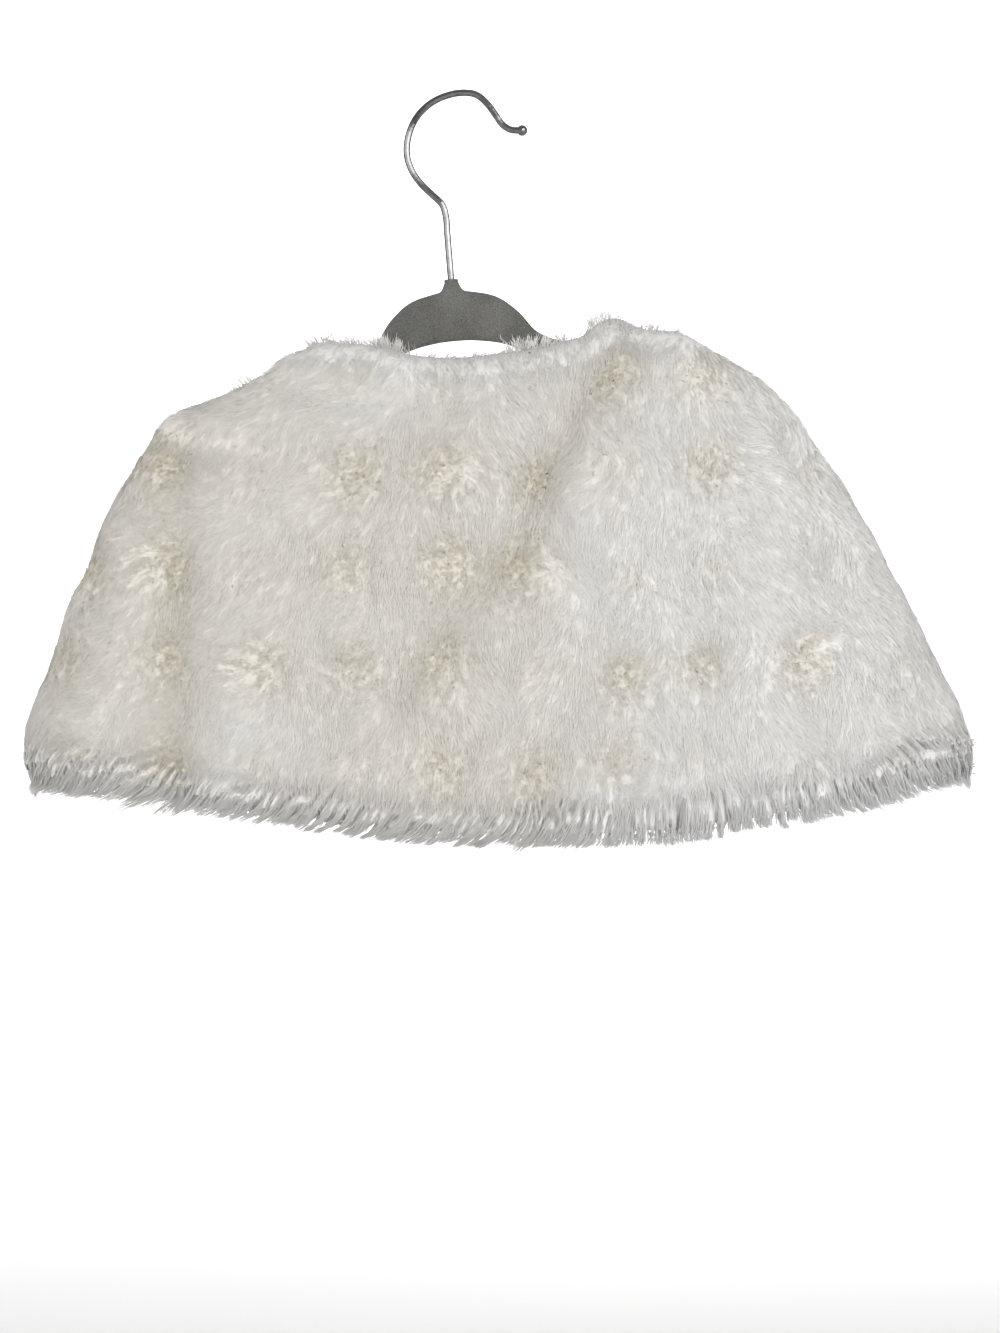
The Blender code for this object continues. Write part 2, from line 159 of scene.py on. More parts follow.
# Layers of smooth unevenness: height, size of the features in millimetres, and seed
Waver = namedtuple("Waver", "height size seed")
SOFT_FORM = (Waver(0.26, 22, 41), Waver(0.04, 9, 42))
LOCK_UNEVEN = (Waver(0.8, 26, 53), Waver(0.25, 13, 54))
NUB_SIZE = 6.0 * MM
NUB_MIDDLE = 0.8
NUB_HEIGHT = 0.45

# The rolled lip along the hem: where it starts, and its combed locks
LIP_START = 0.915
LIP_WAVER = 0.014
LIP_RIPPLE = 0.4
LIP_RISE = 0.02
LIP_FULL = 0.05
GROOVE_WIDTH = 0.015
GROOVE_DEPTH = 0.9 * MM
GAP_SHARPNESS = 1.5
EDGE_FADE = 1.6
LOCK_PITCH = 7.4 * MM
LOCK_DEPTH = 4.6 * MM
LIP_ROLL = 1.3 * MM
LEAN_X = (-205, -150, -60, 20, 60, 85, 120, 160, 200, 238)
LEAN_SIDE = (-1.5, -1.1, -0.85, -0.7, -0.4, 0.0, 0.15, 0.5, 1.0, 1.4)

# The bunched knot of fur at the neck's right: place, spread and height, and how it fades at the edge
NECK_KNOT = (70 * MM, -104 * MM)
KNOT_SPREAD = 8 * MM
KNOT_HEIGHT = 3.5 * MM
KNOT_FADE = 2

# Wisps that stand off the back's edges: place, direction and length in millimetres, spread and strands
Wisp = namedtuple("Wisp", "x z to_x to_z length spread strands")
WISPS = [Wisp(*row) for row in (
    (-39, -113, -0.5, 1.0, 4, 1.5, 70), (-35, -114, -0.1, 1.0, 5, 1.4, 80),
    (-30, -116, 0.3, 1.0, 4, 1.5, 70), (20, -119, -0.4, 1.0, 3, 1.6, 60),
    (25, -118, -0.2, 1.0, 4, 1.5, 70), (31, -117, 0.2, 1.0, 4, 1.6, 70), (37, -115, 0.1, 1.0, 4, 1.5, 70),
    (43, -113, 0.3, 1.0, 3, 1.6, 60), (57, -106, -0.5, 0.9, 3, 2.0, 150),
    (63, -103, -0.1, 1.0, 3, 2.4, 170), (-70, -111, -0.8, 0.8, 5, 2.0, 110),
    (-62, -110, -0.3, 1.0, 4, 2.0, 90), (-52, -111, 0.2, 1.0, 3, 2.0, 90),
    (88, -103, 0.4, 0.8, 3, 1.8, 90), (99, -107, 0.9, 0.7, 5, 1.4, 90),
    (-99, -130, -0.8, 0.7, 5, 2.4, 120), (-106, -133, -0.6, 0.8, 5, 2.4, 120),
    (-117, -138, -0.9, 0.5, 4, 2.4, 90), (-200, -310, -0.9, -0.6, 4, 3.0, 170),
    (-196, -315, -0.7, -0.8, 4, 3.0, 170), (229, -298, 1.0, 0.25, 5, 1.6, 110),
    (229, -312, 0.9, -0.4, 5, 2.2, 130), (230, -306, 1.0, 0.0, 4, 1.8, 110),
)]

# The fine grid that carries the pile, and how its normals and shading are softened
GRID_AROUND = 720
GRID_DOWN = 240
RING_SAMPLES = 2001
RING_DROP = 0.6
NORMAL_PASSES = 120
SHADING_PASSES = 8
SHADING_FLATNESS = 0.9
NECK_FLATNESS = 4.0
NECK_SOFT_ROWS = 14
# Where the grey painted shade along the rolled neck edge fades out, as a drop
NECK_PAINTED_SHADE_END = 0.07
EDGE_ROWS = 2
WAVES = 14
WAVE_SPREAD = (0.7, 1.5)
SEED = 7

# Strands of every kind, and how a strand tapers to its tip
STRANDS_BACK = 121500
STRANDS_FRONT = 34000
STRANDS_LIP = 15500
LOCKS_A_TUFT = 46
STRANDS_A_LOCK = 6
STRAND_WIDTH = 0.36 * MM
PILE_WIDTHS = (0.75, 1.2)
LOCK_WIDTHS = (0.9, 1.4)
STRAND_TAPER = 0.65
TAPER_CURVE = 1.5

# Fine pile: its fall fanned out at both sides, its swirls, and its lengths and tips in millimetres
HALF_WIDTHS = (0.1, 0.21)
SWEEP_LEFT = 1.5
SWEEP_RIGHT = 0.9
SWEEP_CURVE = 2.2
PILE_TOP = 0.010
PILE_PAST_LIP = 0.006
PILE_THINNER = 0.6
SWIRL = 0.32
SWIRL_SIZE = 42 * MM
RUFFLE = 0.07
RUFFLE_TUFT = 0.45
RUFFLE_SIZE = 8 * MM
STRAY = 0.17
PILE_LENGTH = 7.5 * MM
PILE_UNEVEN = 1.6 * MM
PILE_SHORTER = 0.45
PILE_LENGTHS = (3 * MM, 12 * MM)
NECK_TURN_DROP = 0.035
NECK_TURNED = 0.75
NECK_SHORTER = 0.75
PILE_ROOT = -0.9
PILE_MIDDLE = (0.35, 0.45)
TIP_HEIGHT = 0.50
TIP_UNEVEN = 0.28
TIP_DRIFT = 0.08
TIP_DRIFT_SIZE = 9 * MM
LOOSE_SHARE = 0.10
LOOSE_TIPS = (0.3, 1.3)
TIP_RANGE = (0.05, 2.4)
TIP_AT_LIP = 0.5
LIP_FADE = 0.05
LIP_FADE_END = 0.005
PILE_TILT = 0.030
PILE_ROLL = 0.35
# Grey painted shade on the pile where it overhangs the lip
PILE_LIP_PAINTED_SHADE = 0.45

# Locks of the lip
LOCK_LEAN = 0.06
LOCK_STRAY = 0.05
LOCK_TOP = 0.012
LOCK_FOOT = 0.004
LOCK_END = 0.995
LOT_HASH = (12.9898, 43758.5453)
LOCK_REACH = 5.5
LOCK_SHORT = 1.6
LOCK_UNEVEN_END = 0.5 * MM
LOCK_LENGTHS = (4 * MM, 26 * MM)
LOCK_ROOT = -0.8
LOCK_TIP = 0.8
LOCK_TIP_UNEVEN = 0.45
LOCK_TIP_RANGE = (-0.2, 1.8)
LOCK_RISE = 2.2
LOCK_FLATTEN = 0.55
LOCK_GATHER = 0.85
LOCK_GATHER_CURVE = 0.9
LOCK_ROUND = 0.6
LOCK_ROLL = 0.4
LOCK_TILT = 0.05
LOCK_CREAM = 0.02
# Grey painted shade over the whole lip, which turns under away from the light
LOCK_PAINTED_SHADE = 0.74
LOCK_ROUNDING = 0.2

# Matted curls at the tufts, with lengths and heights in millimetres
CURL_REACH = 2.5 * MM
CURL_SPREAD = (6.5, 8.5)
CURL_ROWS = 3
CURL_END = 0.9
CURL_DOWN = -0.5
CURL_LENGTHS = (1.8, 3.4)
CURL_ROOT = -0.8
CURL_RISES = (0.1, 0.8)
CURL_ARCH = 2.6
CURL_TURNS = (1.6, 3.2)
CURL_PULL = 0.35
CURL_RADIUS = 0.62
CURL_POINT = (0.75, 1.2)
CURL_ROUND = 0.25
# The curls' cream is partly the yellow of matted fur and partly painted shade, so they look no lighter
# than the pile
CURL_CREAM = (0.58, 0.18)
# Grey painted shade over the curls
CURL_PAINTED_SHADE = 0.28

# Wisps
WISP_ROOT = 0.7
WISP_OUT = 0.25
WISP_STRAY = 0.22
WISP_LENGTHS = (0.6, 1.05)
WISP_SAG = 0.12
WISP_ROLL = 0.3
WISP_TILT = 0.2
WISP_THIN = 0.95
WISP_WIDTHS = (0.8, 1.2)

# Colours, and the noise that spreads them
WHITE = (1.0, 1.0, 1.0)
# Warm and cool ends of the fur's white: painted shade on the left, away from the key light, and painted
# light on the right, mixed with random unevenness
WARM_WHITE_PAINTED_SHADE = (0.905, 0.885, 0.852)
COOL_WHITE_PAINTED_LIGHT = (0.935, 0.930, 0.918)
CREAM = (0.785, 0.745, 0.655)
# Darker towards the strands' roots: painted shade between strands
ROOT_PAINTED_SHADE = (0.95, 0.94, 0.92)
STRAND_SHADE = (0.97, 0.97, 0.97)
# Grey of painted shade, laid where the alpha channel of the fur attribute asks for it
PAINTED_SHADE_GREY = (0.75, 0.758, 0.770)
# Dark yellow of painted shade in the creases of matted places
CREASE_PAINTED_SHADE = (0.79, 0.765, 0.695)
KNIT_COLOURS = ((0.70, 0.68, 0.63), (0.80, 0.79, 0.75))
FLOCK_COLOURS = ((0.092, 0.092, 0.086), (0.275, 0.275, 0.262))
FLOCK_WORN = (0.74, 0.74, 0.73)
WIRE_COLOURS = ((0.15, 0.15, 0.154), (0.24, 0.24, 0.244))
WIRE_ROUGHNESS = ((0.10, 0.10, 0.10), (0.22, 0.22, 0.22))
PAPER_COLOURS = ((0.90, 0.90, 0.90), (0.92, 0.92, 0.92))

CAMERA_DISTANCE = 1.3
CAMERA_CENTRE = Vector((0.0166, 0.0, -0.2622))
FRAME_HEIGHT = 0.6132

# The studio: paper sweep and lights
FLOOR_Z = -0.62
SWEEP_FRONT = -3.0
SWEEP_BEND = 1.2
SWEEP_RADIUS = 1.1
SWEEP_STEPS = 16
SWEEP_TOP = 3.2
SWEEP_SIDE = 4.0
SKY_STRENGTH = 0.43
Light = namedtuple("Light", "name place target size power colour")
LIGHTS = (
    Light("key", (1.15, -1.55, 0.45), (0.0, 0.0, -0.24), 1.1, 18.0, (1.0, 0.998, 0.995)),
    Light("fill", (-1.6, -1.3, 0.1), (0.0, 0.0, -0.24), 1.4, 12.5, (1.0, 0.998, 0.997)),
    Light("backdrop", (0.0, 0.9, 1.3), (0.0, 2.3, 0.74), 1.6, 70.0, WHITE),
)

# The cut of each cloth piece: its angles, pieces of pile, strands, and flat size and area in metres
QUARTER = math.pi / 2
Panel = namedtuple("Panel", "name first last piles strands flat area")
PANELS = (
    Panel("back", QUARTER, 3 * QUARTER, 3, STRANDS_BACK, (0.461, 0.261), 0.0791),
    Panel("front_left", 0.0, QUARTER, 1, STRANDS_FRONT, (0.231, 0.261), 0.0396),
    Panel("front_right", 3 * QUARTER, 4 * QUARTER, 1, STRANDS_FRONT, (0.231, 0.261), 0.0396),
)


def smooth_rows(rows, at):
    """Every column of rows, read at these values of its first column on a smooth curve."""
    table = np.array(rows, float)
    knots = table[:, 0]
    slopes = np.gradient(table, knots, axis=0)
    at = np.clip(at, knots[0], knots[-1])
    row = np.clip(np.searchsorted(knots, at, side="right") - 1, 0, len(knots) - 2)
    span = (knots[row + 1] - knots[row])[..., None]
    s = (at[..., None] - knots[row][..., None]) / span
    return (
        table[row] * (2 * s**3 - 3 * s**2 + 1)
        + slopes[row] * span * (s**3 - 2 * s**2 + s)
        + table[row + 1] * (3 * s**2 - 2 * s**3)
        + slopes[row + 1] * span * (s**3 - s**2)
    )


def sections_at(drop):
    """The outline's row at these drops, in metres."""
    columns = np.moveaxis(smooth_rows(SECTIONS, np.asarray(drop, float)), -1, 0)
    return Section(columns[0], *(columns[1:] * MM))


def inner_side(drop, side):
    """The left (-1) or right (1) outline moved in by the wall, square to itself."""
    before, here, after = (
        np.array(sections_at(np.clip(drop + step, 0, 1))) for step in (-OUTLINE_STEP, 0, OUTLINE_STEP)
    )
    first = Section._fields.index("left_x" if side < 0 else "right_x")
    x, z = here[first : first + 2]
    run, fall = (after - before)[first : first + 2]
    length = np.hypot(run, fall)
    return x + side * fall / length * PILE_WALL, z - side * run / length * PILE_WALL


def draped_ring(angle, drop):
    """The inner face without folds. Angle 0 is the middle front, pi/2 the left side, pi the back."""
    here = sections_at(drop)
    left_x, left_z = inner_side(drop, -1)
    right_x, right_z = inner_side(drop, 1)
    across, through = np.sin(angle), np.cos(angle)
    centre = (left_x + right_x) / 2
    x = centre - (right_x - left_x) / 2 * across + (MIDDLE_X - centre) * through**2
    side_z = np.where(across > 0, left_z, right_z)
    middle_z = np.where(through > 0, here.front_z, here.back_z)
    z = side_z + (middle_z - side_z) * through**2
    depth = np.where(through > 0, here.front_y, here.back_y) - PILE_WALL
    y = depth * through * (1 + FLATNESS - FLATNESS * through**2)
    neck = sections_at(0.0)
    neck_z = smooth_rows(NECK_EDGE, x / MM)[..., 1] * MM
    plain_z = neck.back_z + (neck.left_z - neck.back_z) * across**2
    on_back = np.clip(-through / NECK_BLEND, 0, 1)
    z = z + (neck_z - plain_z) * on_back * np.exp(-((drop / NECK_EDGE_REACH) ** 2))
    rise = smooth_rows(HEM_LIFT, x / MM)[..., 1] * MM
    z = z + rise * on_back * (np.clip(drop - HEM_LIFT_START, 0, 1) / (1 - HEM_LIFT_START)) ** 2
    return np.stack([x, y, z], axis=-1)


def facing(surface, angle, drop):
    """Outward unit normals of a surface function."""
    around = surface(angle + SMALL_STEP, drop) - surface(angle - SMALL_STEP, drop)
    high = np.clip(drop - SMALL_STEP, 0, 1)
    low = np.clip(drop + SMALL_STEP, 0, 1)
    down = surface(angle, low) - surface(angle, high)
    normal = np.cross(down, around)
    return normal / np.linalg.norm(normal, axis=-1, keepdims=True)


def distance_along(points, route):
    """How far points in the x-z plane are from a route, and their share of the way along it."""
    route = np.array(route, float) * MM
    lengths = np.linalg.norm(np.diff(route, axis=0), axis=1)
    starts = np.concatenate([[0], np.cumsum(lengths)])
    nearest = np.full(points.shape[:-1], np.inf)
    share = np.zeros(points.shape[:-1])
    for a, b, length, start in zip(route[:-1], route[1:], lengths, starts):
        s = np.clip(((points - a) @ (b - a)) / length**2, 0, 1)
        away = np.linalg.norm(points - a - s[..., None] * (b - a), axis=-1)
        closer = away < nearest
        nearest = np.where(closer, away, nearest)
        share = np.where(closer, (start + s * length) / starts[-1], share)
    return nearest, share


def folded_ring(angle, drop):
    """The inner face with its folds."""
    flat = draped_ring(angle, drop)
    outward = facing(draped_ring, angle, drop)
    moved = np.zeros(flat.shape[:-1])
    for fold in FOLDS:
        away, share = distance_along(flat[..., [0, 2]], fold.route)
        depth = (fold.depth_start + (fold.depth_end - fold.depth_start) * share) * MM
        this_face = np.clip(fold.face * np.cos(angle) / FACE_BLEND, 0, 1)
        moved = moved - depth * np.exp(-((away / (fold.width * MM)) ** 2)) * this_face
    return flat + outward * moved[..., None]


def rounded_edge(distance):
    """The wall's height at a distance from a cut edge, which the pile rolls over."""
    s = np.clip(distance / PILE_WALL, 0, 1)
    return EDGE_WALL + (PILE_WALL - EDGE_WALL) * np.sqrt(1 - (1 - s) ** 2)


def unit(vectors):
    return vectors / np.maximum(np.linalg.norm(vectors, axis=-1, keepdims=True), 1e-12)


def wander(points, size, seed):
    """Smooth noise of about one standard deviation, with features of this size."""
    rng = np.random.default_rng(seed)
    waves = unit(rng.normal(size=(WAVES, 3))) * rng.uniform(*WAVE_SPREAD, (WAVES, 1)) * math.tau / size
    phase = rng.uniform(0, math.tau, WAVES)
    return np.sin(points @ waves.T + phase).sum(-1) / math.sqrt(WAVES / 2)


def wander_vectors(points, size, seed):
    """Smooth noise in all three directions."""
    return np.stack([wander(points, size, seed + k) for k in range(3)], axis=-1)


def wavers(points, rows):
    """Several layers of smooth noise, added up."""
    return sum(row.height * wander(points, row.size * MM, row.seed) for row in rows)


def tufts():
    """Place, strength and face of every tacked-down tuft, a little off the grid."""
    rng = np.random.default_rng(SEED)
    rows = []
    for face in (BACK, FRONT):
        for row in TUFT_ROWS:
            for column in TUFT_COLUMNS:
                known = face == BACK and 0 <= column < len(TUFT_STRENGTHS[0])
                strength = TUFT_STRENGTHS[row + 1][column] if known else rng.uniform(*GUESSED_STRENGTHS)
                x = DIMPLE_FIRST_X + column * DIMPLE_PITCH_X + rng.normal() * TUFT_JITTER * MM
                z = DIMPLE_FIRST_Z - row * DIMPLE_PITCH_Z + rng.normal() * TUFT_JITTER * MM
                rows.append((x, z, strength, face))
    return np.array(rows)


def tuft_strength(points, places, spread):
    """1 at a strong tuft and 0 away from all."""
    face = np.where(points[..., 1] < 0, BACK, FRONT)
    total = np.zeros(points.shape[:-1])
    for x, z, strength, side in places:
        away2 = (points[..., 0] - x) ** 2 + (points[..., 2] - z) ** 2
        total += strength * np.exp(-away2 / (2 * spread**2)) * (face == side)
    return np.clip(total, 0, 1)


def soften(grid, times):
    """A grid of vectors averaged with its neighbours a number of times."""
    for _ in range(times):
        wide = np.pad(grid, ((1, 1), (1, 1), (0, 0)), mode="edge")
        grid = (wide[:-2, 1:-1] + wide[2:, 1:-1] + wide[1:-1, :-2] + wide[1:-1, 2:] + 4 * grid) / 8
    return grid


def lip_lean(points):
    """Sideways lean of the lip's locks for each unit down. The fronts mirror the back."""
    lean = np.interp(points[..., 0] / MM, LEAN_X, LEAN_SIDE)
    return np.where(points[..., 1] < 0, lean, -lean)


def step_up(value, low, high):
    """0 below low and 1 above high, with a smooth step between."""
    s = np.clip((value - low) / (high - low), 0, 1)
    return s * s * (3 - 2 * s)


def measured_ring():
    """Fine angles round the cape, and the length along its inner face up to each."""
    fine = np.linspace(0, math.tau, RING_SAMPLES)
    ring = draped_ring(fine, np.full_like(fine, RING_DROP))
    return fine, np.concatenate([[0], np.cumsum(np.linalg.norm(np.diff(ring, axis=0), axis=1))])


class Skin:
    """The cape's inner face and its underfur on one fine grid, read by column and row."""

    def __init__(self):
        fine, length = measured_ring()
        self.angles = np.interp(np.linspace(0, length[-1], GRID_AROUND + 1), length, fine)
        self.drops = np.linspace(0, 1, GRID_DOWN + 1)
        angle, drop = np.meshgrid(self.angles, self.drops)
        self.points = folded_ring(angle, drop)
        self.normals = unit(soften(facing(folded_ring, angle, drop), NORMAL_PASSES))
        self.around = np.gradient(self.points, axis=1)
        self.down = np.gradient(self.points, axis=0)
        self.places = tufts()
        self.tuft = tuft_strength(self.points, self.places, DIMPLE_SPREAD)
        # Cream at the tufts is matted yellowing; the wider, weaker cream round them is painted shade in
        # the dimples
        round_tufts = tuft_strength(self.points, self.places, MATTED_SPREAD)
        self.matted = MATTED_TUFT * self.tuft + MATTED_AND_PAINTED_SHADE_SHARE * round_tufts
        # The two deepest folds get cream as painted shade in their troughs
        for fold in FOLDS[:2]:
            away, _ = distance_along(self.points[..., [0, 2]], fold.route)
            fold_painted_shade = np.exp(-((away / (FOLD_PAINTED_SHADE_SPREAD * MM)) ** 2)) * (self.points[..., 1] < 0)
            self.matted = self.matted + MATTED_AND_PAINTED_SHADE_SHARE * fold_painted_shade
        self.matted = np.clip(self.matted, 0, 1)
        self.arc = np.cumsum(np.linalg.norm(self.around, axis=-1), axis=1)
        self.height, self.lock, self.gap = self.underfur_height(drop)
        a = self.points[:-1, 1:] - self.points[:-1, :-1]
        b = self.points[1:, :-1] - self.points[:-1, :-1]
        self.areas = np.linalg.norm(np.cross(a, b), axis=-1)
        self.cell_tuft = self.tuft[:-1, :-1]
        surface = self.points + self.normals * self.height[..., None]
        true = unit(np.cross(np.gradient(surface, axis=0), np.gradient(surface, axis=1)))
        self.shading = unit(soften(true, SHADING_PASSES))

    def lip_line(self):
        """The drop at which the lip starts, for each column."""
        hem = self.points[-1]
        line = LIP_START + LIP_WAVER * wander(hem, 60 * MM, seed=51)
        return line + LIP_RIPPLE * LIP_WAVER * wander(hem, 14 * MM, seed=52)

    def underfur_height(self, drop):
        """The underfur's height, the running count of the lip's locks, and the gaps between them."""
        edge = np.minimum(drop - UNDERFUR_TOP, UNDERFUR_END - drop) * CAPE_LENGTH
        front = np.minimum(self.arc, self.arc[:, -1:] - self.arc)
        height = UNDERFUR_SHARE * rounded_edge(np.minimum(edge, front))
        full = (height - UNDERFUR_SHARE * EDGE_WALL) / (UNDERFUR_SHARE * (PILE_WALL - EDGE_WALL))
        inside = np.clip(full * EDGE_FADE, 0, 1)
        nubs = np.abs(wander(self.points, NUB_SIZE, seed=43)) - NUB_MIDDLE
        height = height + full * MM * (wavers(self.points, SOFT_FORM) + NUB_HEIGHT * self.tuft * nubs)
        height = height - full * DIMPLE_DEPTH * DIMPLE_SHARE * self.tuft
        lip = self.lip_line()
        groove = np.exp(-(((drop - lip) / GROOVE_WIDTH) ** 2))
        height = height - GROOVE_DEPTH * groove * full
        height = height + LIP_ROLL * step_up(drop, lip - LIP_RISE, lip + LIP_FULL) * inside
        slant = lip_lean(self.points) * (drop - LIP_START) * CAPE_LENGTH * np.sign(self.around[..., 0])
        lock = (self.arc[-1] - slant) / LOCK_PITCH + wavers(self.points[-1], LOCK_UNEVEN)
        between = (1 - np.abs(np.sin(lock * math.pi))) ** GAP_SHARPNESS
        gap = between * step_up(drop, lip, lip + LIP_RISE)
        height = height - LOCK_DEPTH * gap * inside
        knot2 = (self.points[..., 0] - NECK_KNOT[0]) ** 2 + (self.points[..., 2] - NECK_KNOT[1]) ** 2
        knot = np.exp(-knot2 / (2 * KNOT_SPREAD**2)) * (self.points[..., 1] < 0)
        height = height + KNOT_HEIGHT * knot * np.clip(full * KNOT_FADE, 0, 1)
        return np.maximum(height, BACKING + UNDERFUR_LEAST), lock, gap

    def read(self, grid, column, row):
        """A grid's values between its points."""
        column = np.clip(column, 0, GRID_AROUND - 1e-6)
        row = np.clip(row, 0, GRID_DOWN - 1e-6)
        c, r = column.astype(int), row.astype(int)
        s, t = column - c, row - r
        if grid.ndim == 3:
            s, t = s[..., None], t[..., None]
        above = grid[r, c] * (1 - s) + grid[r, c + 1] * s
        below = grid[r + 1, c] * (1 - s) + grid[r + 1, c + 1] * s
        return above * (1 - t) + below * t

    def scatter(self, rng, count, columns, drops, weight=1.0):
        """Columns and rows of random places spread evenly over part of the skin."""
        chance = self.areas * weight
        chance[:, : columns[0]] = 0
        chance[:, columns[1] :] = 0
        middle = (self.drops[1:] + self.drops[:-1]) / 2
        chance[(middle < drops[0]) | (middle > drops[1]), :] = 0
        edges = np.cumsum(chance.ravel())
        cells = np.searchsorted(edges, rng.uniform(0, edges[-1], count))
        row, column = np.divmod(np.minimum(cells, chance.size - 1), GRID_AROUND)
        return column + rng.uniform(size=count), row + rng.uniform(size=count)

    def follow(self, column, row, flow, distances, lifts, flatten=1.0):
        """Strand paths that keep to the underfur, from their places along a direction in space."""
        around = self.read(self.around, column, row)
        down = self.read(self.down, column, row)
        aa, dd, ad = (around**2).sum(-1), (down**2).sum(-1), (around * down).sum(-1)
        fa, fd = (flow * around).sum(-1), (flow * down).sum(-1)
        size = aa * dd - ad**2
        per_column = (fa * dd - fd * ad) / size
        per_row = (fd * aa - fa * ad) / size
        tangent = unit(per_column[:, None] * around + per_row[:, None] * down)
        scale = np.linalg.norm(per_column[:, None] * around + per_row[:, None] * down, axis=-1)
        c = column[:, None] + (per_column / scale)[:, None] * distances
        r = row[:, None] + (per_row / scale)[:, None] * distances
        first, last = UNDERFUR_TOP * GRID_DOWN, UNDERFUR_END * GRID_DOWN
        kept = np.clip(r, first, last)
        beyond = np.abs(r - kept) * CAPE_LENGTH / GRID_DOWN
        normal = unit(self.read(self.normals, c, kept))
        height = self.read(self.height, c, kept) + lifts
        points = self.read(self.points, c, kept) + normal * height[..., None]
        points = points + tangent[:, None] * beyond[..., None]
        flat = SHADING_FLATNESS + NECK_FLATNESS * (1 - step_up(r, first, first + NECK_SOFT_ROWS))
        shading = self.read(self.shading, c, np.clip(r, first + EDGE_ROWS, last - EDGE_ROWS))
        shading = unit(shading + flatten * flat[..., None] * normal)
        return points, normal, shading, tangent


def place_object(name, data):
    """A new object with this mesh, lamp or camera, in the scene."""
    thing = bpy.data.objects.new(name, data)
    bpy.context.scene.collection.objects.link(thing)
    return thing


def paint(mesh, along, lot, cream, white):
    """Keeps each point's share along its strand, its lot, its cream, and its painted shade: 1 for white, 0
    for full grey shade.
    """
    shade = np.stack(np.broadcast_arrays(along, lot, cream, white), axis=-1).astype(np.float32)
    attribute = mesh.attributes.new("fur", "FLOAT_COLOR", "POINT")
    attribute.data.foreach_set("color", shade.ravel())


def ribbons(name, paths, widths, side, shading, lots, cream, grey=0.0, rounding=0.10):
    """One mesh of tapering strands. Each is a strip along its path with a pointed tip."""
    strands, knots = paths.shape[:2]
    along = np.linspace(0, 1, knots)
    half = side * (widths[:, None] * (1 - STRAND_TAPER * along[None, :] ** TAPER_CURVE))[..., None] / 2
    per_strand = 2 * (knots - 1) + 1
    verts = np.empty((strands, per_strand, 3), np.float32)
    normals = np.empty_like(verts)
    for first, edge in ((0, -1), (1, 1)):
        verts[:, first:-1:2] = (paths + edge * half)[:, :-1]
        normals[:, first:-1:2] = (shading + edge * rounding * side)[:, :-1]
    verts[:, -1] = paths[:, -1]
    normals[:, -1] = shading[:, -1]
    strip = [[2 * k, 2 * k + 1, 2 * k + 3, 2 * k + 2] for k in range(knots - 2)]
    strip.append([2 * knots - 4, 2 * knots - 3, 2 * knots - 2])
    sizes = [len(face) for face in strip]
    loops = np.arange(strands)[:, None] * per_strand + np.concatenate(strip)
    starts = np.arange(strands)[:, None] * sum(sizes) + np.cumsum([0] + sizes[:-1])
    mesh = bpy.data.meshes.new(name)
    mesh.vertices.add(strands * per_strand)
    mesh.vertices.foreach_set("co", verts.ravel())
    mesh.loops.add(loops.size)
    mesh.loops.foreach_set("vertex_index", loops.ravel().astype(np.int32))
    mesh.polygons.add(starts.size)
    mesh.polygons.foreach_set("loop_start", starts.ravel().astype(np.int32))
    mesh.update(calc_edges=True)
    mesh.shade_smooth()
    mesh.normals_split_custom_set_from_vertices(unit(normals.reshape(-1, 3)))
    steps = np.append(np.repeat(along[:-1], 2), 1.0)
    paint(mesh, steps[None, :], lots[:, None], cream[:, None], 1 - np.broadcast_to(grey, strands)[:, None])
    return place_object(name, mesh)


def fall_direction(points, drop):
    """Which way the pile lies: down, and fanned out at both sides."""
    half_width = np.interp(drop, [0, 1], HALF_WIDTHS)
    share = np.clip((points[:, 0] - MIDDLE_X) / half_width, -1, 1)
    amount = np.abs(share) ** SWEEP_CURVE
    sweep = np.where(share < 0, -SWEEP_LEFT * amount, SWEEP_RIGHT * amount)
    return unit(np.stack([sweep, np.zeros(len(points)), -np.ones(len(points))], axis=-1))


def ribbon_sides(rng, tangent, normal, spread):
    """The direction across each strand, turned a little about it at random."""
    roll = rng.normal(size=len(tangent))[:, None] * spread
    side = np.cross(tangent, normal[:, 0]) * np.cos(roll) + normal[:, 0] * np.sin(roll)
    return unit(side)[:, None]


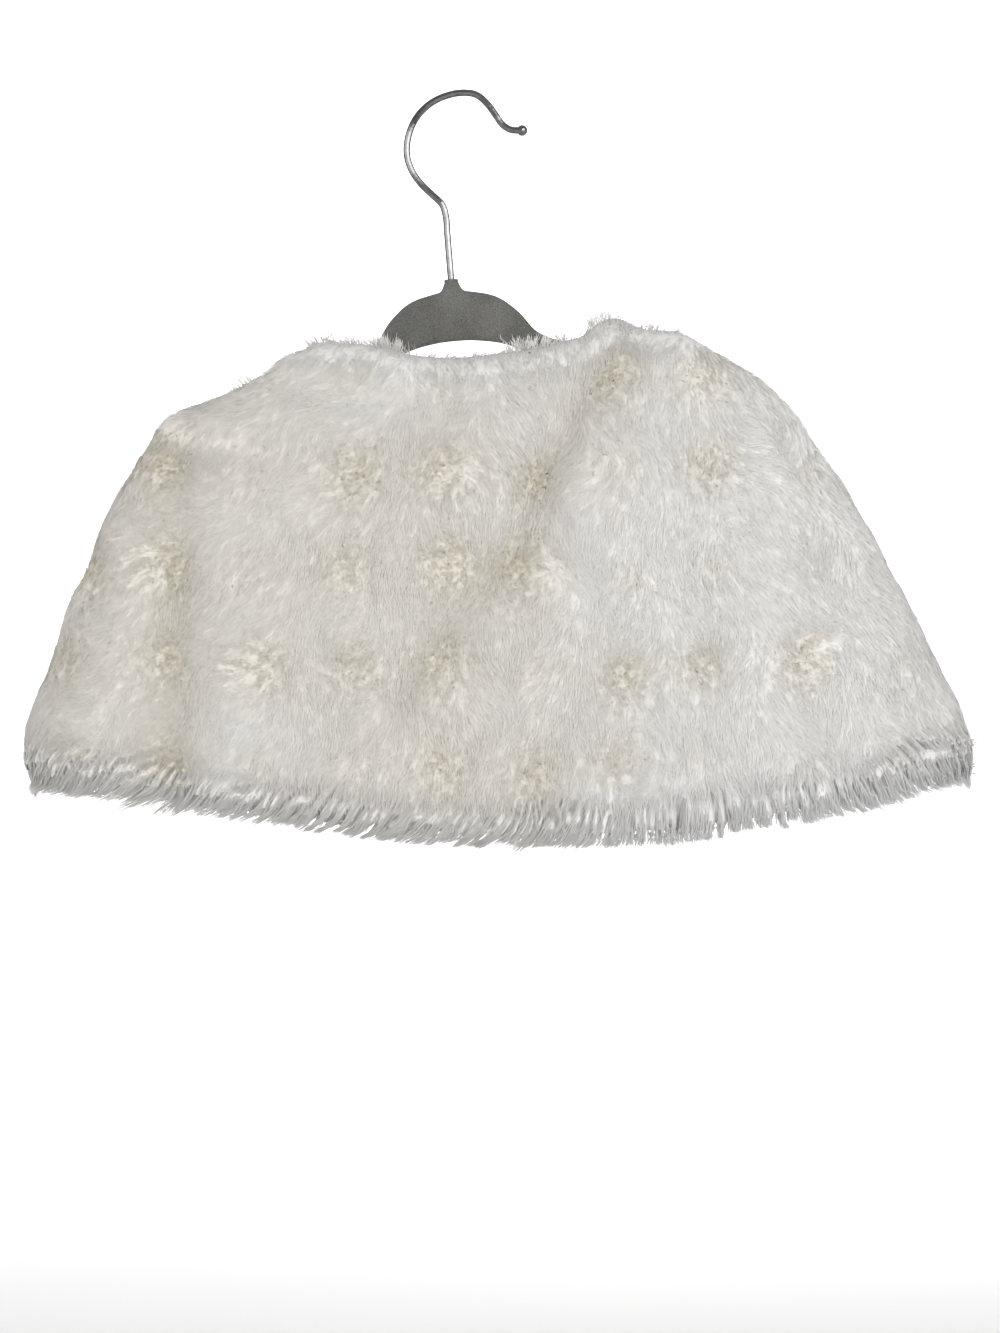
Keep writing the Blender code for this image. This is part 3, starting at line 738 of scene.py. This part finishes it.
def grow_pile(name, skin, seed, count, columns):
    """The fine pile over the body of the cape, above the lip."""
    rng = np.random.default_rng(seed)
    drops = (PILE_TOP, LIP_START + PILE_PAST_LIP)
    column, row = skin.scatter(rng, count, columns, drops, 1 - PILE_THINNER * skin.cell_tuft)
    points = skin.read(skin.points, column, row)
    drop = row / GRID_DOWN
    tuft = skin.read(skin.tuft, column, row)
    swirl = wander_vectors(points, SWIRL_SIZE, 11)
    ruffle = wander_vectors(points, RUFFLE_SIZE, 15)
    flow = fall_direction(points, drop) + SWIRL * swirl + (RUFFLE + RUFFLE_TUFT * tuft[:, None]) * ruffle
    flow = flow + STRAY * rng.normal(size=(count, 3))
    length = (PILE_LENGTH + PILE_UNEVEN * rng.normal(size=count)) * (1 - PILE_SHORTER * tuft)
    at_neck = (drop < NECK_TURN_DROP) & (rng.uniform(size=count) < NECK_TURNED)
    flow[at_neck] = flow[at_neck] * np.array([1.0, 1.0, -1.0])
    length = np.clip(np.where(at_neck, NECK_SHORTER * length, length), *PILE_LENGTHS)
    distances = length[:, None] * np.linspace(0, 1, 3)
    tip = TIP_HEIGHT + TIP_UNEVEN * rng.normal(size=count) + TIP_DRIFT * wander(points, TIP_DRIFT_SIZE, 19)
    loose = rng.uniform(size=count) < LOOSE_SHARE
    tip = np.where(loose, tip + rng.uniform(*LOOSE_TIPS, count), tip).clip(*TIP_RANGE)
    tip = tip + TIP_AT_LIP * step_up(drop, LIP_START - LIP_FADE, LIP_START - LIP_FADE_END)
    middle = PILE_MIDDLE[0] + PILE_MIDDLE[1] * tip
    lifts = np.stack([np.full(count, PILE_ROOT), middle, tip], axis=1) * MM
    paths, normal, shading, tangent = skin.follow(column, row, flow, distances, lifts)
    side = ribbon_sides(rng, tangent, normal, PILE_ROLL)
    shading = unit(shading + PILE_TILT * rng.normal(size=(count, 1, 3)))
    widths = STRAND_WIDTH * rng.uniform(*PILE_WIDTHS, count)
    # Grey painted shade that grows towards the lip
    grey = PILE_LIP_PAINTED_SHADE * step_up(drop, LIP_START - LIP_FADE, LIP_START)
    # Grey painted shade along the rolled neck edge, to dim the light on its rim
    grey = grey + (1 - step_up(drop, 0.0, NECK_PAINTED_SHADE_END))
    # Cream of matted yellowing, with painted shade round the tufts and in the folds
    matted = skin.read(skin.matted, column, row)
    return ribbons(name, paths, widths, side, shading, rng.uniform(size=count), matted, grey)


def grow_lip(name, skin, seed, count, columns):
    """The combed locks of the lip, which hang past the underfur to the hem."""
    rng = np.random.default_rng(seed)
    column, row = skin.scatter(rng, count, columns, (LIP_START - LOCK_TOP, UNDERFUR_END - LOCK_FOOT))
    points = skin.read(skin.points, column, row)
    lean = lip_lean(points) + LOCK_LEAN * wander(points, 30 * MM, seed=61)
    flow = np.stack([lean, np.zeros(count), -np.ones(count)], axis=-1)
    flow = flow + LOCK_STRAY * rng.normal(size=(count, 3))
    to_edge = (LOCK_END - row / GRID_DOWN) * CAPE_LENGTH
    phase = skin.read(skin.lock, column, row)
    lot = np.modf(np.abs(np.sin(np.floor(phase) * LOT_HASH[0]) * LOT_HASH[1]))[0]
    reach = (LOCK_REACH * np.sqrt(lot) - LOCK_SHORT) * MM + LOCK_UNEVEN_END * rng.normal(size=count)
    length = np.clip(to_edge * np.sqrt(1 + lean**2) + reach, *LOCK_LENGTHS)
    along = np.linspace(0, 1, 5)
    tip = (LOCK_TIP + LOCK_TIP_UNEVEN * rng.normal(size=count)).clip(*LOCK_TIP_RANGE)
    lifts = (LOCK_ROOT + (tip - LOCK_ROOT)[:, None] * np.minimum(along * LOCK_RISE, 1)) * MM
    distances = length[:, None] * along
    paths, normal, shading, tangent = skin.follow(column, row, flow, distances, lifts, LOCK_FLATTEN)
    into_lock = (0.5 - (phase - np.floor(phase))) * LOCK_PITCH
    sideways = unit(skin.read(skin.around, column, row))[:, None]
    paths = paths + sideways * (LOCK_GATHER * into_lock[:, None] * along**LOCK_GATHER_CURVE)[..., None]
    side = ribbon_sides(rng, tangent, normal, LOCK_ROLL)
    shading = unit(shading - sideways * (into_lock / LOCK_PITCH)[:, None, None] * LOCK_ROUND)
    shading = unit(shading + LOCK_TILT * rng.normal(size=(count, 1, 3)))
    widths = STRAND_WIDTH * rng.uniform(*LOCK_WIDTHS, count)
    cream = np.full(count, LOCK_CREAM)
    lots = rng.uniform(size=count)
    return ribbons(name, paths, widths, side, shading, lots, cream, LOCK_PAINTED_SHADE, LOCK_ROUNDING)


def grow_tufts(name, skin, seed, columns):
    """Short matted curls around the tacked-down places, each a bundle that ends in a point."""
    rng = np.random.default_rng(seed)
    middle = skin.points[:, columns[0] : columns[1]]
    face = np.where(middle[..., 1] < 0, BACK, FRONT)
    starts = []
    for x, z, strength, side in skin.places:
        away = np.hypot(middle[..., 0] - x, middle[..., 2] - z) + (face != side)
        row, column = np.unravel_index(np.argmin(away), away.shape)
        if away[row, column] > CURL_REACH or not 2 * CURL_ROWS < row < CURL_END * GRID_DOWN:
            continue
        pace = np.linalg.norm(skin.around[row, column + columns[0]])
        for _ in range(int(LOCKS_A_TUFT * strength + 0.5)):
            c = column + columns[0] + rng.normal() * CURL_SPREAD[0] * MM / pace
            r = row + rng.normal() * CURL_SPREAD[1] * MM / (CAPE_LENGTH / GRID_DOWN)
            starts.append((c, np.clip(r, CURL_ROWS, CURL_END * GRID_DOWN)))
    starts = np.array(starts)
    locks = len(starts)
    column, row = np.repeat(starts, STRANDS_A_LOCK, axis=0).T
    count = len(column)
    lock = np.repeat(np.arange(locks), STRANDS_A_LOCK)
    heading = rng.normal(size=(locks, 3)) + np.array([0, 0, CURL_DOWN])
    knots = 5
    along = np.linspace(0, 1, knots)
    length = rng.uniform(*CURL_LENGTHS, locks)[lock][:, None] * MM
    rise = rng.uniform(*CURL_RISES, locks)[lock]
    lifts = (CURL_ROOT + (rise - CURL_ROOT)[:, None] * np.sin(along * CURL_ARCH)) * MM
    paths, normal, shading, tangent = skin.follow(column, row, heading[lock], length * along, lifts)
    across = unit(np.cross(tangent, normal[:, 0]))
    curl = (rng.uniform(*CURL_TURNS, locks) * rng.choice([-1, 1], locks))[lock][:, None] * along
    bend = np.cumsum(np.sin(curl), axis=1) / knots * length
    pull_back = (1 - np.cos(curl)) * CURL_PULL * length
    paths = paths + across[:, None] * bend[..., None] - tangent[:, None] * pull_back[..., None]
    turn = rng.uniform(0, math.tau, count)
    radius = CURL_RADIUS * MM * np.sqrt(rng.uniform(size=count))
    ring = (across * np.cos(turn)[:, None] + normal[:, 0] * np.sin(turn)[:, None])[:, None]
    spread = radius[:, None] * (1 - CURL_POINT[0] * along ** CURL_POINT[1])
    paths = paths + ring * spread[..., None]
    shading = unit(shading + CURL_ROUND * ring)
    widths = STRAND_WIDTH * rng.uniform(*LOCK_WIDTHS, count)
    # Cream and grey on the curls: matted yellowing and painted shade
    cream = np.clip(CURL_CREAM[0] + CURL_CREAM[1] * rng.normal(size=locks), 0, 1)[lock]
    lots = rng.uniform(size=count)
    return ribbons(name, paths, widths, across[:, None], shading, lots, cream, CURL_PAINTED_SHADE)


def grow_wisps(name, skin, seed):
    """Small pointed wisps that stand off the back's neck, shoulders and corners."""
    rng = np.random.default_rng(seed)
    on_back = skin.points[..., 1] < 0.01
    rows = []
    for wisp in WISPS:
        away = np.hypot(skin.points[..., 0] - wisp.x * MM, skin.points[..., 2] - wisp.z * MM)
        row, column = np.unravel_index(np.argmin(away + ~on_back), away.shape)
        normal = skin.normals[row, column]
        middle = skin.points[row, column] + normal * WISP_ROOT * skin.height[row, column]
        shape = (wisp.strands, 3)
        base = middle + rng.normal(size=shape) * wisp.spread * MM
        heading = np.array([wisp.to_x, 0.0, wisp.to_z]) + WISP_OUT * normal
        direction = unit(heading + WISP_STRAY * rng.normal(size=shape))
        length = wisp.length * MM * rng.uniform(*WISP_LENGTHS, wisp.strands)
        rows.append((base, direction, np.broadcast_to(normal, shape), length))
    bases, directions, normals, lengths = (np.concatenate(parts) for parts in zip(*rows))
    count = len(bases)
    along = np.linspace(0, 1, 4)
    sag = normals[:, None] * (WISP_SAG * lengths[:, None] * along**2)[..., None]
    paths = bases[:, None] + directions[:, None] * (lengths[:, None] * along)[..., None] + sag
    side = unit(np.cross(directions, normals) + WISP_ROLL * rng.normal(size=(count, 3)))[:, None]
    tilt = WISP_TILT * rng.normal(size=(count, 1, 3))
    shading = unit(normals[:, None] + tilt + np.zeros((1, len(along), 1)))
    widths = WISP_THIN * STRAND_WIDTH * rng.uniform(*WISP_WIDTHS, count)
    return ribbons(name, paths, widths, side, shading, rng.uniform(size=count), np.zeros(count))


def shell(name, outer, inner, step):
    """A closed mesh between two grids. The inner one has only every step-th point each way."""
    r, c = outer.shape[:2]
    cr, cc = inner.shape[:2]
    half = r * c
    ahead, backward = range(step + 1), range(step, -1, -1)
    faces = []
    for i in range(r - 1):
        for k in range(i * c, i * c + c - 1):
            faces.append((k + c, k + c + 1, k + 1, k))
    for i in range(cr - 1):
        for k in range(half + i * cc, half + i * cc + cc - 1):
            faces.append((k, k + 1, k + cc + 1, k + cc))
    for j in range(cc - 1):
        top = tuple(step * j + m for m in ahead)
        faces.append(top + (half + j + 1, half + j))
        foot = tuple((r - 1) * c + step * j + m for m in backward)
        faces.append(foot + (half + (cr - 1) * cc + j, half + (cr - 1) * cc + j + 1))
    for i in range(cr - 1):
        left = tuple((step * i + m) * c for m in backward)
        faces.append(left + (half + i * cc, half + (i + 1) * cc))
        right = tuple((step * i + m) * c + c - 1 for m in ahead)
        faces.append(right + (half + (i + 1) * cc + cc - 1, half + i * cc + cc - 1))
    mesh = bpy.data.meshes.new(name)
    mesh.from_pydata(np.concatenate([outer.reshape(-1, 3), inner.reshape(-1, 3)]).tolist(), [], faces)
    mesh.update()
    mesh.shade_smooth()
    return mesh


def with_coarse(grid):
    """A grid as one list, and after it the points of the coarse grid, as in the underfur's shell."""
    return np.concatenate([grid.ravel(), grid[::COARSE, ::COARSE].ravel()])


def underfur_panel(name, skin, columns):
    """The dense short pile next to the backing, as a closed shell with the form of the whole pile."""
    step = COARSE * UNDERFUR_STRIDE
    rows = np.arange(round(UNDERFUR_TOP * GRID_DOWN), round(UNDERFUR_END * GRID_DOWN) + 1)
    rows = rows[: (len(rows) - 1) // step * step + 1 : UNDERFUR_STRIDE]
    cols = np.arange(columns[0], columns[1] + 1)
    grid = np.ix_(rows, cols)
    normals = skin.normals[grid]
    base = skin.points[grid] + normals * (BACKING + UNDERFUR_GAP)
    outer = skin.points[grid] + normals * skin.height[grid][..., None]
    shift = unit(skin.around[grid]) / 2
    first_gap = SEAM_GAP if columns[0] == 0 else UNDERFUR_SEAM
    last_gap = SEAM_GAP if columns[1] == GRID_AROUND else UNDERFUR_SEAM
    for layer in (base, outer):
        layer[:, 0] += shift[:, 0] * first_gap
        layer[:, -1] -= shift[:, -1] * last_gap
    mesh = shell(name, outer, base[::COARSE, ::COARSE], COARSE)
    fall = mesh.uv_layers.new(name="fall")
    across = skin.arc[grid]
    drop = np.broadcast_to(skin.drops[rows][:, None], across.shape)
    place = np.stack([with_coarse(across), with_coarse(drop * CAPE_LENGTH)], axis=-1)
    corner = np.empty(len(mesh.loops), np.int32)
    mesh.loops.foreach_get("vertex_index", corner)
    fall.data.foreach_set("uv", place[corner].astype(np.float32).ravel())
    # Grey painted shade in the gaps between the lip's locks and along the neck edge
    grey = np.clip(skin.gap[grid] + 1 - step_up(drop, 0.0, NECK_PAINTED_SHADE_END), 0, 1)
    paint(mesh, UNDERFUR_ALONG, UNDERFUR_LOT, with_coarse(skin.matted[grid]), 1 - with_coarse(grey))
    return place_object(name, mesh)


def backing_panel(name, first_angle, last_angle):
    """The knitted cloth that the pile grows from, as a thin closed shell on the wall's inner face."""
    fine, length = measured_ring()
    first, last = np.interp([first_angle, last_angle], fine, length)
    count = round((last - first) / BACKING_PITCH)
    angles = np.interp(np.linspace(first, last, count + 1), length, fine)
    drops = np.linspace(BACKING_TOP, BACKING_END, BACKING_ROWS)
    angle, drop = np.meshgrid(angles, drops)
    inner = folded_ring(angle, drop)
    outward = facing(folded_ring, angle, drop)
    around = unit(folded_ring(angle + SMALL_STEP, drop) - folded_ring(angle - SMALL_STEP, drop))
    inner[:, 0] += around[:, 0] * SEAM_GAP / 2
    inner[:, -1] -= around[:, -1] * SEAM_GAP / 2
    return place_object(name, shell(name, inner + outward * BACKING, inner, 1))


class Nodes:
    """Short names for building a material's node tree."""

    def __init__(self, name):
        self.material = bpy.data.materials.new(name)
        self.material.use_nodes = True
        self.tree = self.material.node_tree
        self.tree.nodes.clear()
        self.output = self.add("OutputMaterial")

    def add(self, kind, inputs=None, **settings):
        """A new shader node with its settings, and constants on its own sockets."""
        node = self.tree.nodes.new("ShaderNode" + kind)
        for key, value in settings.items():
            setattr(node, key, value)
        for key, value in (inputs or {}).items():
            node.inputs[key].default_value = value
        return node

    def link(self, source, target):
        self.tree.links.new(source, target)

    def noise(self, scale, detail=3.0, roughness=0.5, vector=None):
        node = self.add("TexNoise", {"Scale": scale, "Detail": detail, "Roughness": roughness})
        if vector is not None:
            self.link(vector, node.inputs["Vector"])
        return node.outputs["Fac"]

    def ramp(self, value, stops):
        node = self.add("ValToRGB")
        while len(node.color_ramp.elements) < len(stops):
            node.color_ramp.elements.new(0.5)
        for element, (position, colour) in zip(node.color_ramp.elements, stops):
            element.position = position
            element.color = (*colour, 1.0)
        self.link(value, node.inputs["Fac"])
        return node.outputs["Color"]

    def mix(self, factor, a, b, blend="MIX"):
        node = self.add("Mix", data_type="RGBA", blend_type=blend)
        for value, socket in ((factor, node.inputs[0]), (a, node.inputs[6]), (b, node.inputs[7])):
            if hasattr(value, "links"):
                self.link(value, socket)
            elif isinstance(value, (int, float)):
                socket.default_value = value
            else:
                socket.default_value = (*value, 1.0)
        return node.outputs[2]

    def surface(self, colour, values, bumps=None):
        """A Principled surface with constants on its sockets, and a bump's height, strength and depth."""
        shader = self.add("BsdfPrincipled", values)
        self.link(colour, shader.inputs["Base Color"])
        if bumps is not None:
            bump = self.add("Bump", {"Strength": bumps[1], "Distance": bumps[2]})
            self.link(bumps[0], bump.inputs["Height"])
            self.link(bump.outputs["Normal"], shader.inputs["Normal"])
        return shader

    def place(self):
        return self.add("TexCoord").outputs["Object"]

    def finish(self, shader, output="BSDF"):
        self.link(shader.outputs[output], self.output.inputs["Surface"])
        return self.material


def fur_colour(n):
    """Warm white, with cream in the matted tufts and small differences from strand to strand, and painted
    shade: darker and warmer towards the left, away from the key light, cream that is partly painted shade
    round the tufts and in the folds, and darker roots, creases and grey.
    """
    place = n.place()
    strand = n.add("Attribute", attribute_name="fur")
    split = n.add("SeparateColor")
    n.link(strand.outputs["Color"], split.inputs["Color"])
    along, lot, matted = (split.outputs[name] for name in ("Red", "Green", "Blue"))
    across = n.add("SeparateXYZ")
    n.link(place, across.inputs["Vector"])
    # Darker and warmer towards the left, lighter and cooler towards the right: painted shade and light
    # from the key's side, broken up by noise
    side_painted_shade_drift = n.add("Math", {1: 1.6}, operation="MULTIPLY_ADD")
    n.link(across.outputs["X"], side_painted_shade_drift.inputs[0])
    n.link(n.noise(11.0, 4.0, 0.6, place), side_painted_shade_drift.inputs[2])
    patches_and_side_painted_shade = n.ramp(side_painted_shade_drift.outputs["Value"], ((0.40, WARM_WHITE_PAINTED_SHADE), (0.68, COOL_WHITE_PAINTED_LIGHT)))
    tinted = n.mix(matted, patches_and_side_painted_shade, CREAM)
    # Strands darker towards their roots: painted shade deep in the pile
    root = n.ramp(along, ((0.0, ROOT_PAINTED_SHADE), (0.6, WHITE)))
    lots = n.ramp(lot, ((0.0, STRAND_SHADE), (1.0, WHITE)))
    # The alpha channel darkens towards grey: painted shade on the lip, the neck edge, the gaps between
    # locks and the curls
    grey = n.ramp(strand.outputs["Alpha"], ((0.0, PAINTED_SHADE_GREY), (1.0, WHITE)))
    shaded = n.mix(1.0, n.mix(1.0, tinted, root, "MULTIPLY"), lots, "MULTIPLY")
    # Fine dark creases in the matted places: painted shade between the curls
    crease_painted_shade = n.ramp(n.noise(520.0, 2.0, 0.6, place), ((0.40, CREASE_PAINTED_SHADE), (0.54, WHITE)))
    with_crease_painted_shade = n.mix(matted, shaded, n.mix(1.0, shaded, crease_painted_shade, "MULTIPLY"))
    return n.mix(1.0, with_crease_painted_shade, grey, "MULTIPLY")


def fur_material():
    n = Nodes("white_fur")
    colour = fur_colour(n)
    surface = n.surface(colour, {
        "Roughness": 0.8, "Specular IOR Level": 0.2, "Sheen Weight": 0.15, "Sheen Roughness": 0.5
    })
    glow = n.add("BsdfTranslucent")
    n.link(colour, glow.inputs["Color"])
    blend = n.add("MixShader", {"Fac": 0.2})
    n.link(surface.outputs["BSDF"], blend.inputs[1])
    n.link(glow.outputs["BSDF"], blend.inputs[2])
    return n.finish(blend, "Shader")


def underfur_material():
    n = Nodes("white_underfur")
    stretch = n.add("Mapping", {"Scale": (1500.0, 260.0, 1.0)})
    n.link(n.add("UVMap", uv_map="fall").outputs["UV"], stretch.inputs["Vector"])
    hairs = n.noise(1.0, 3.0, 0.65, stretch.outputs["Vector"])
    values = {"Roughness": 0.9, "Specular IOR Level": 0.15, "Sheen Weight": 0.15}
    return n.finish(n.surface(fur_colour(n), values, (hairs, 0.35, 0.0006)))


def backing_material():
    n = Nodes("knit_backing")
    place = n.place()
    wave = n.add("TexWave", {"Scale": 220.0, "Distortion": 1.5, "Detail": 2.0}, bands_direction="Z")
    n.link(place, wave.inputs["Vector"])
    colour = n.ramp(n.noise(60.0, 4.0, 0.6, place), tuple(zip((0.3, 0.7), KNIT_COLOURS)))
    values = {"Roughness": 0.9, "Sheen Weight": 0.2}
    return n.finish(n.surface(colour, values, (wave.outputs["Fac"], 0.5, 0.0006)))


def flock_material():
    n = Nodes("grey_flock")
    place = n.place()
    fine = n.noise(2600.0, 2.0, 0.7, place)
    speckle = n.ramp(fine, tuple(zip((0.30, 0.72), FLOCK_COLOURS)))
    worn = n.ramp(n.noise(45.0, 4.0, 0.55, place), ((0.35, FLOCK_WORN), (0.65, WHITE)))
    values = {"Roughness": 0.95, "Specular IOR Level": 0.1, "Sheen Weight": 0.35, "Sheen Roughness": 0.4}
    return n.finish(n.surface(n.mix(1.0, speckle, worn, "MULTIPLY"), values, (fine, 0.6, 0.0004)))


def chrome_material():
    n = Nodes("chrome_wire")
    marks = n.noise(420.0, 5.0, 0.65, n.place())
    colour = n.ramp(marks, tuple(zip((0.35, 0.65), WIRE_COLOURS)))
    surface = n.surface(colour, {"Metallic": 1.0}, (marks, 0.08, 0.0002))
    n.link(n.ramp(marks, tuple(zip((0.3, 0.7), WIRE_ROUGHNESS))), surface.inputs["Roughness"])
    return n.finish(surface)


def studio_material():
    n = Nodes("studio_paper")
    shade = n.ramp(n.noise(1.5, 2.0, 0.5, n.place()), tuple(zip((0.3, 0.7), PAPER_COLOURS)))
    return n.finish(n.surface(shade, {"Roughness": 0.95}))


def studio_sweep():
    """A pale paper sweep: floor, a wide bend, and a wall behind."""
    profile = [(SWEEP_FRONT, FLOOR_Z)]
    for i in range(SWEEP_STEPS + 1):
        turn = i / SWEEP_STEPS * math.pi / 2
        bend = SWEEP_RADIUS * math.sin(turn), SWEEP_RADIUS * (1 - math.cos(turn))
        profile.append((SWEEP_BEND + bend[0], FLOOR_Z + bend[1]))
    profile.append((SWEEP_BEND + SWEEP_RADIUS, SWEEP_TOP))
    verts = [(x, y, z) for y, z in profile for x in (-SWEEP_SIDE, SWEEP_SIDE)]
    faces = [(2 * i, 2 * i + 1, 2 * i + 3, 2 * i + 2) for i in range(len(profile) - 1)]
    mesh = bpy.data.meshes.new("studio_sweep")
    mesh.from_pydata(verts, [], faces)
    mesh.shade_smooth()
    return place_object("studio_sweep", mesh)


def set_camera():
    """The photograph's view: square to the back, from the front of -Y."""
    data = bpy.data.cameras.new("camera")
    camera = place_object("camera", data)
    bpy.context.scene.camera = camera
    data.sensor_fit = "VERTICAL"
    data.lens = data.sensor_height * CAMERA_DISTANCE / FRAME_HEIGHT
    camera.location = CAMERA_CENTRE + Vector((0, -CAMERA_DISTANCE, 0))
    camera.rotation_euler = (math.pi / 2, 0, 0)


def set_lights():
    """A pale sky, soft lamps on both sides, and one on the paper behind."""
    world = bpy.data.worlds.new("studio")
    bpy.context.scene.world = world
    world.use_nodes = True
    sky = world.node_tree.nodes["Background"]
    sky.inputs["Color"].default_value = (*WHITE, 1.0)
    sky.inputs["Strength"].default_value = SKY_STRENGTH
    for light in LIGHTS:
        data = bpy.data.lights.new(light.name, "AREA")
        data.size = light.size
        data.energy = light.power
        data.color = light.colour
        lamp = place_object(light.name, data)
        lamp.location = light.place
        aim = Vector(light.target) - Vector(light.place)
        lamp.rotation_euler = aim.to_track_quat("-Z", "Y").to_euler()


def dress(skin, number, panel, knit, underfur, fur):
    """One cloth piece: its backing, underfur, pile, lip, tufts and wisps."""
    share = 1.0
    name = panel.name
    backing = backing_panel(name + "_backing", panel.first, panel.last)
    backing.data.materials.append(knit)
    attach(backing, "root")
    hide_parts(name)
    every = np.arange(GRID_AROUND + 1)
    columns = np.round(np.interp([panel.first, panel.last], skin.angles, every)).astype(int)
    under = underfur_panel(name + "_underfur", skin, columns)
    under.data.materials.append(underfur)
    grown = []
    splits = np.round(np.linspace(*columns, panel.piles + 1)).astype(int)
    count = int(panel.strands * share / panel.piles)
    for k in range(panel.piles):
        seed = SEED + 10 * number + k
        grown.append(grow_pile(f"{name}_pile_{k + 1}", skin, seed, count, splits[k : k + 2]))
    count = int(STRANDS_LIP * share * (panel.last - panel.first) / math.tau)
    grown.append(grow_lip(name + "_lip", skin, SEED + 70 + number, count, columns))
    grown.append(grow_tufts(name + "_tufts", skin, SEED + 80 + number, columns))
    if name == "back":
        grown.append(grow_wisps("back_wisps", skin, SEED + 90))
    for piece in grown:
        piece.data.materials.append(fur)
    pieces = [under, *grown]
    for piece in pieces:
        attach(piece, "root")


def main():
    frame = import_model()
    set_camera()
    set_lights()
    bpy.context.scene.view_settings.view_transform = "Standard"

    fur = fur_material()
    underfur = underfur_material()
    knit = backing_material()
    frame["nodes"]["hanger_plate"].data.materials[0] = flock_material()
    frame["nodes"]["hanger_hook"].data.materials[0] = chrome_material()

    skin = Skin()
    for number, panel in enumerate(PANELS):
        dress(skin, number, panel, knit, underfur, fur)

    sweep = studio_sweep()
    sweep.data.materials.append(studio_material())


main()
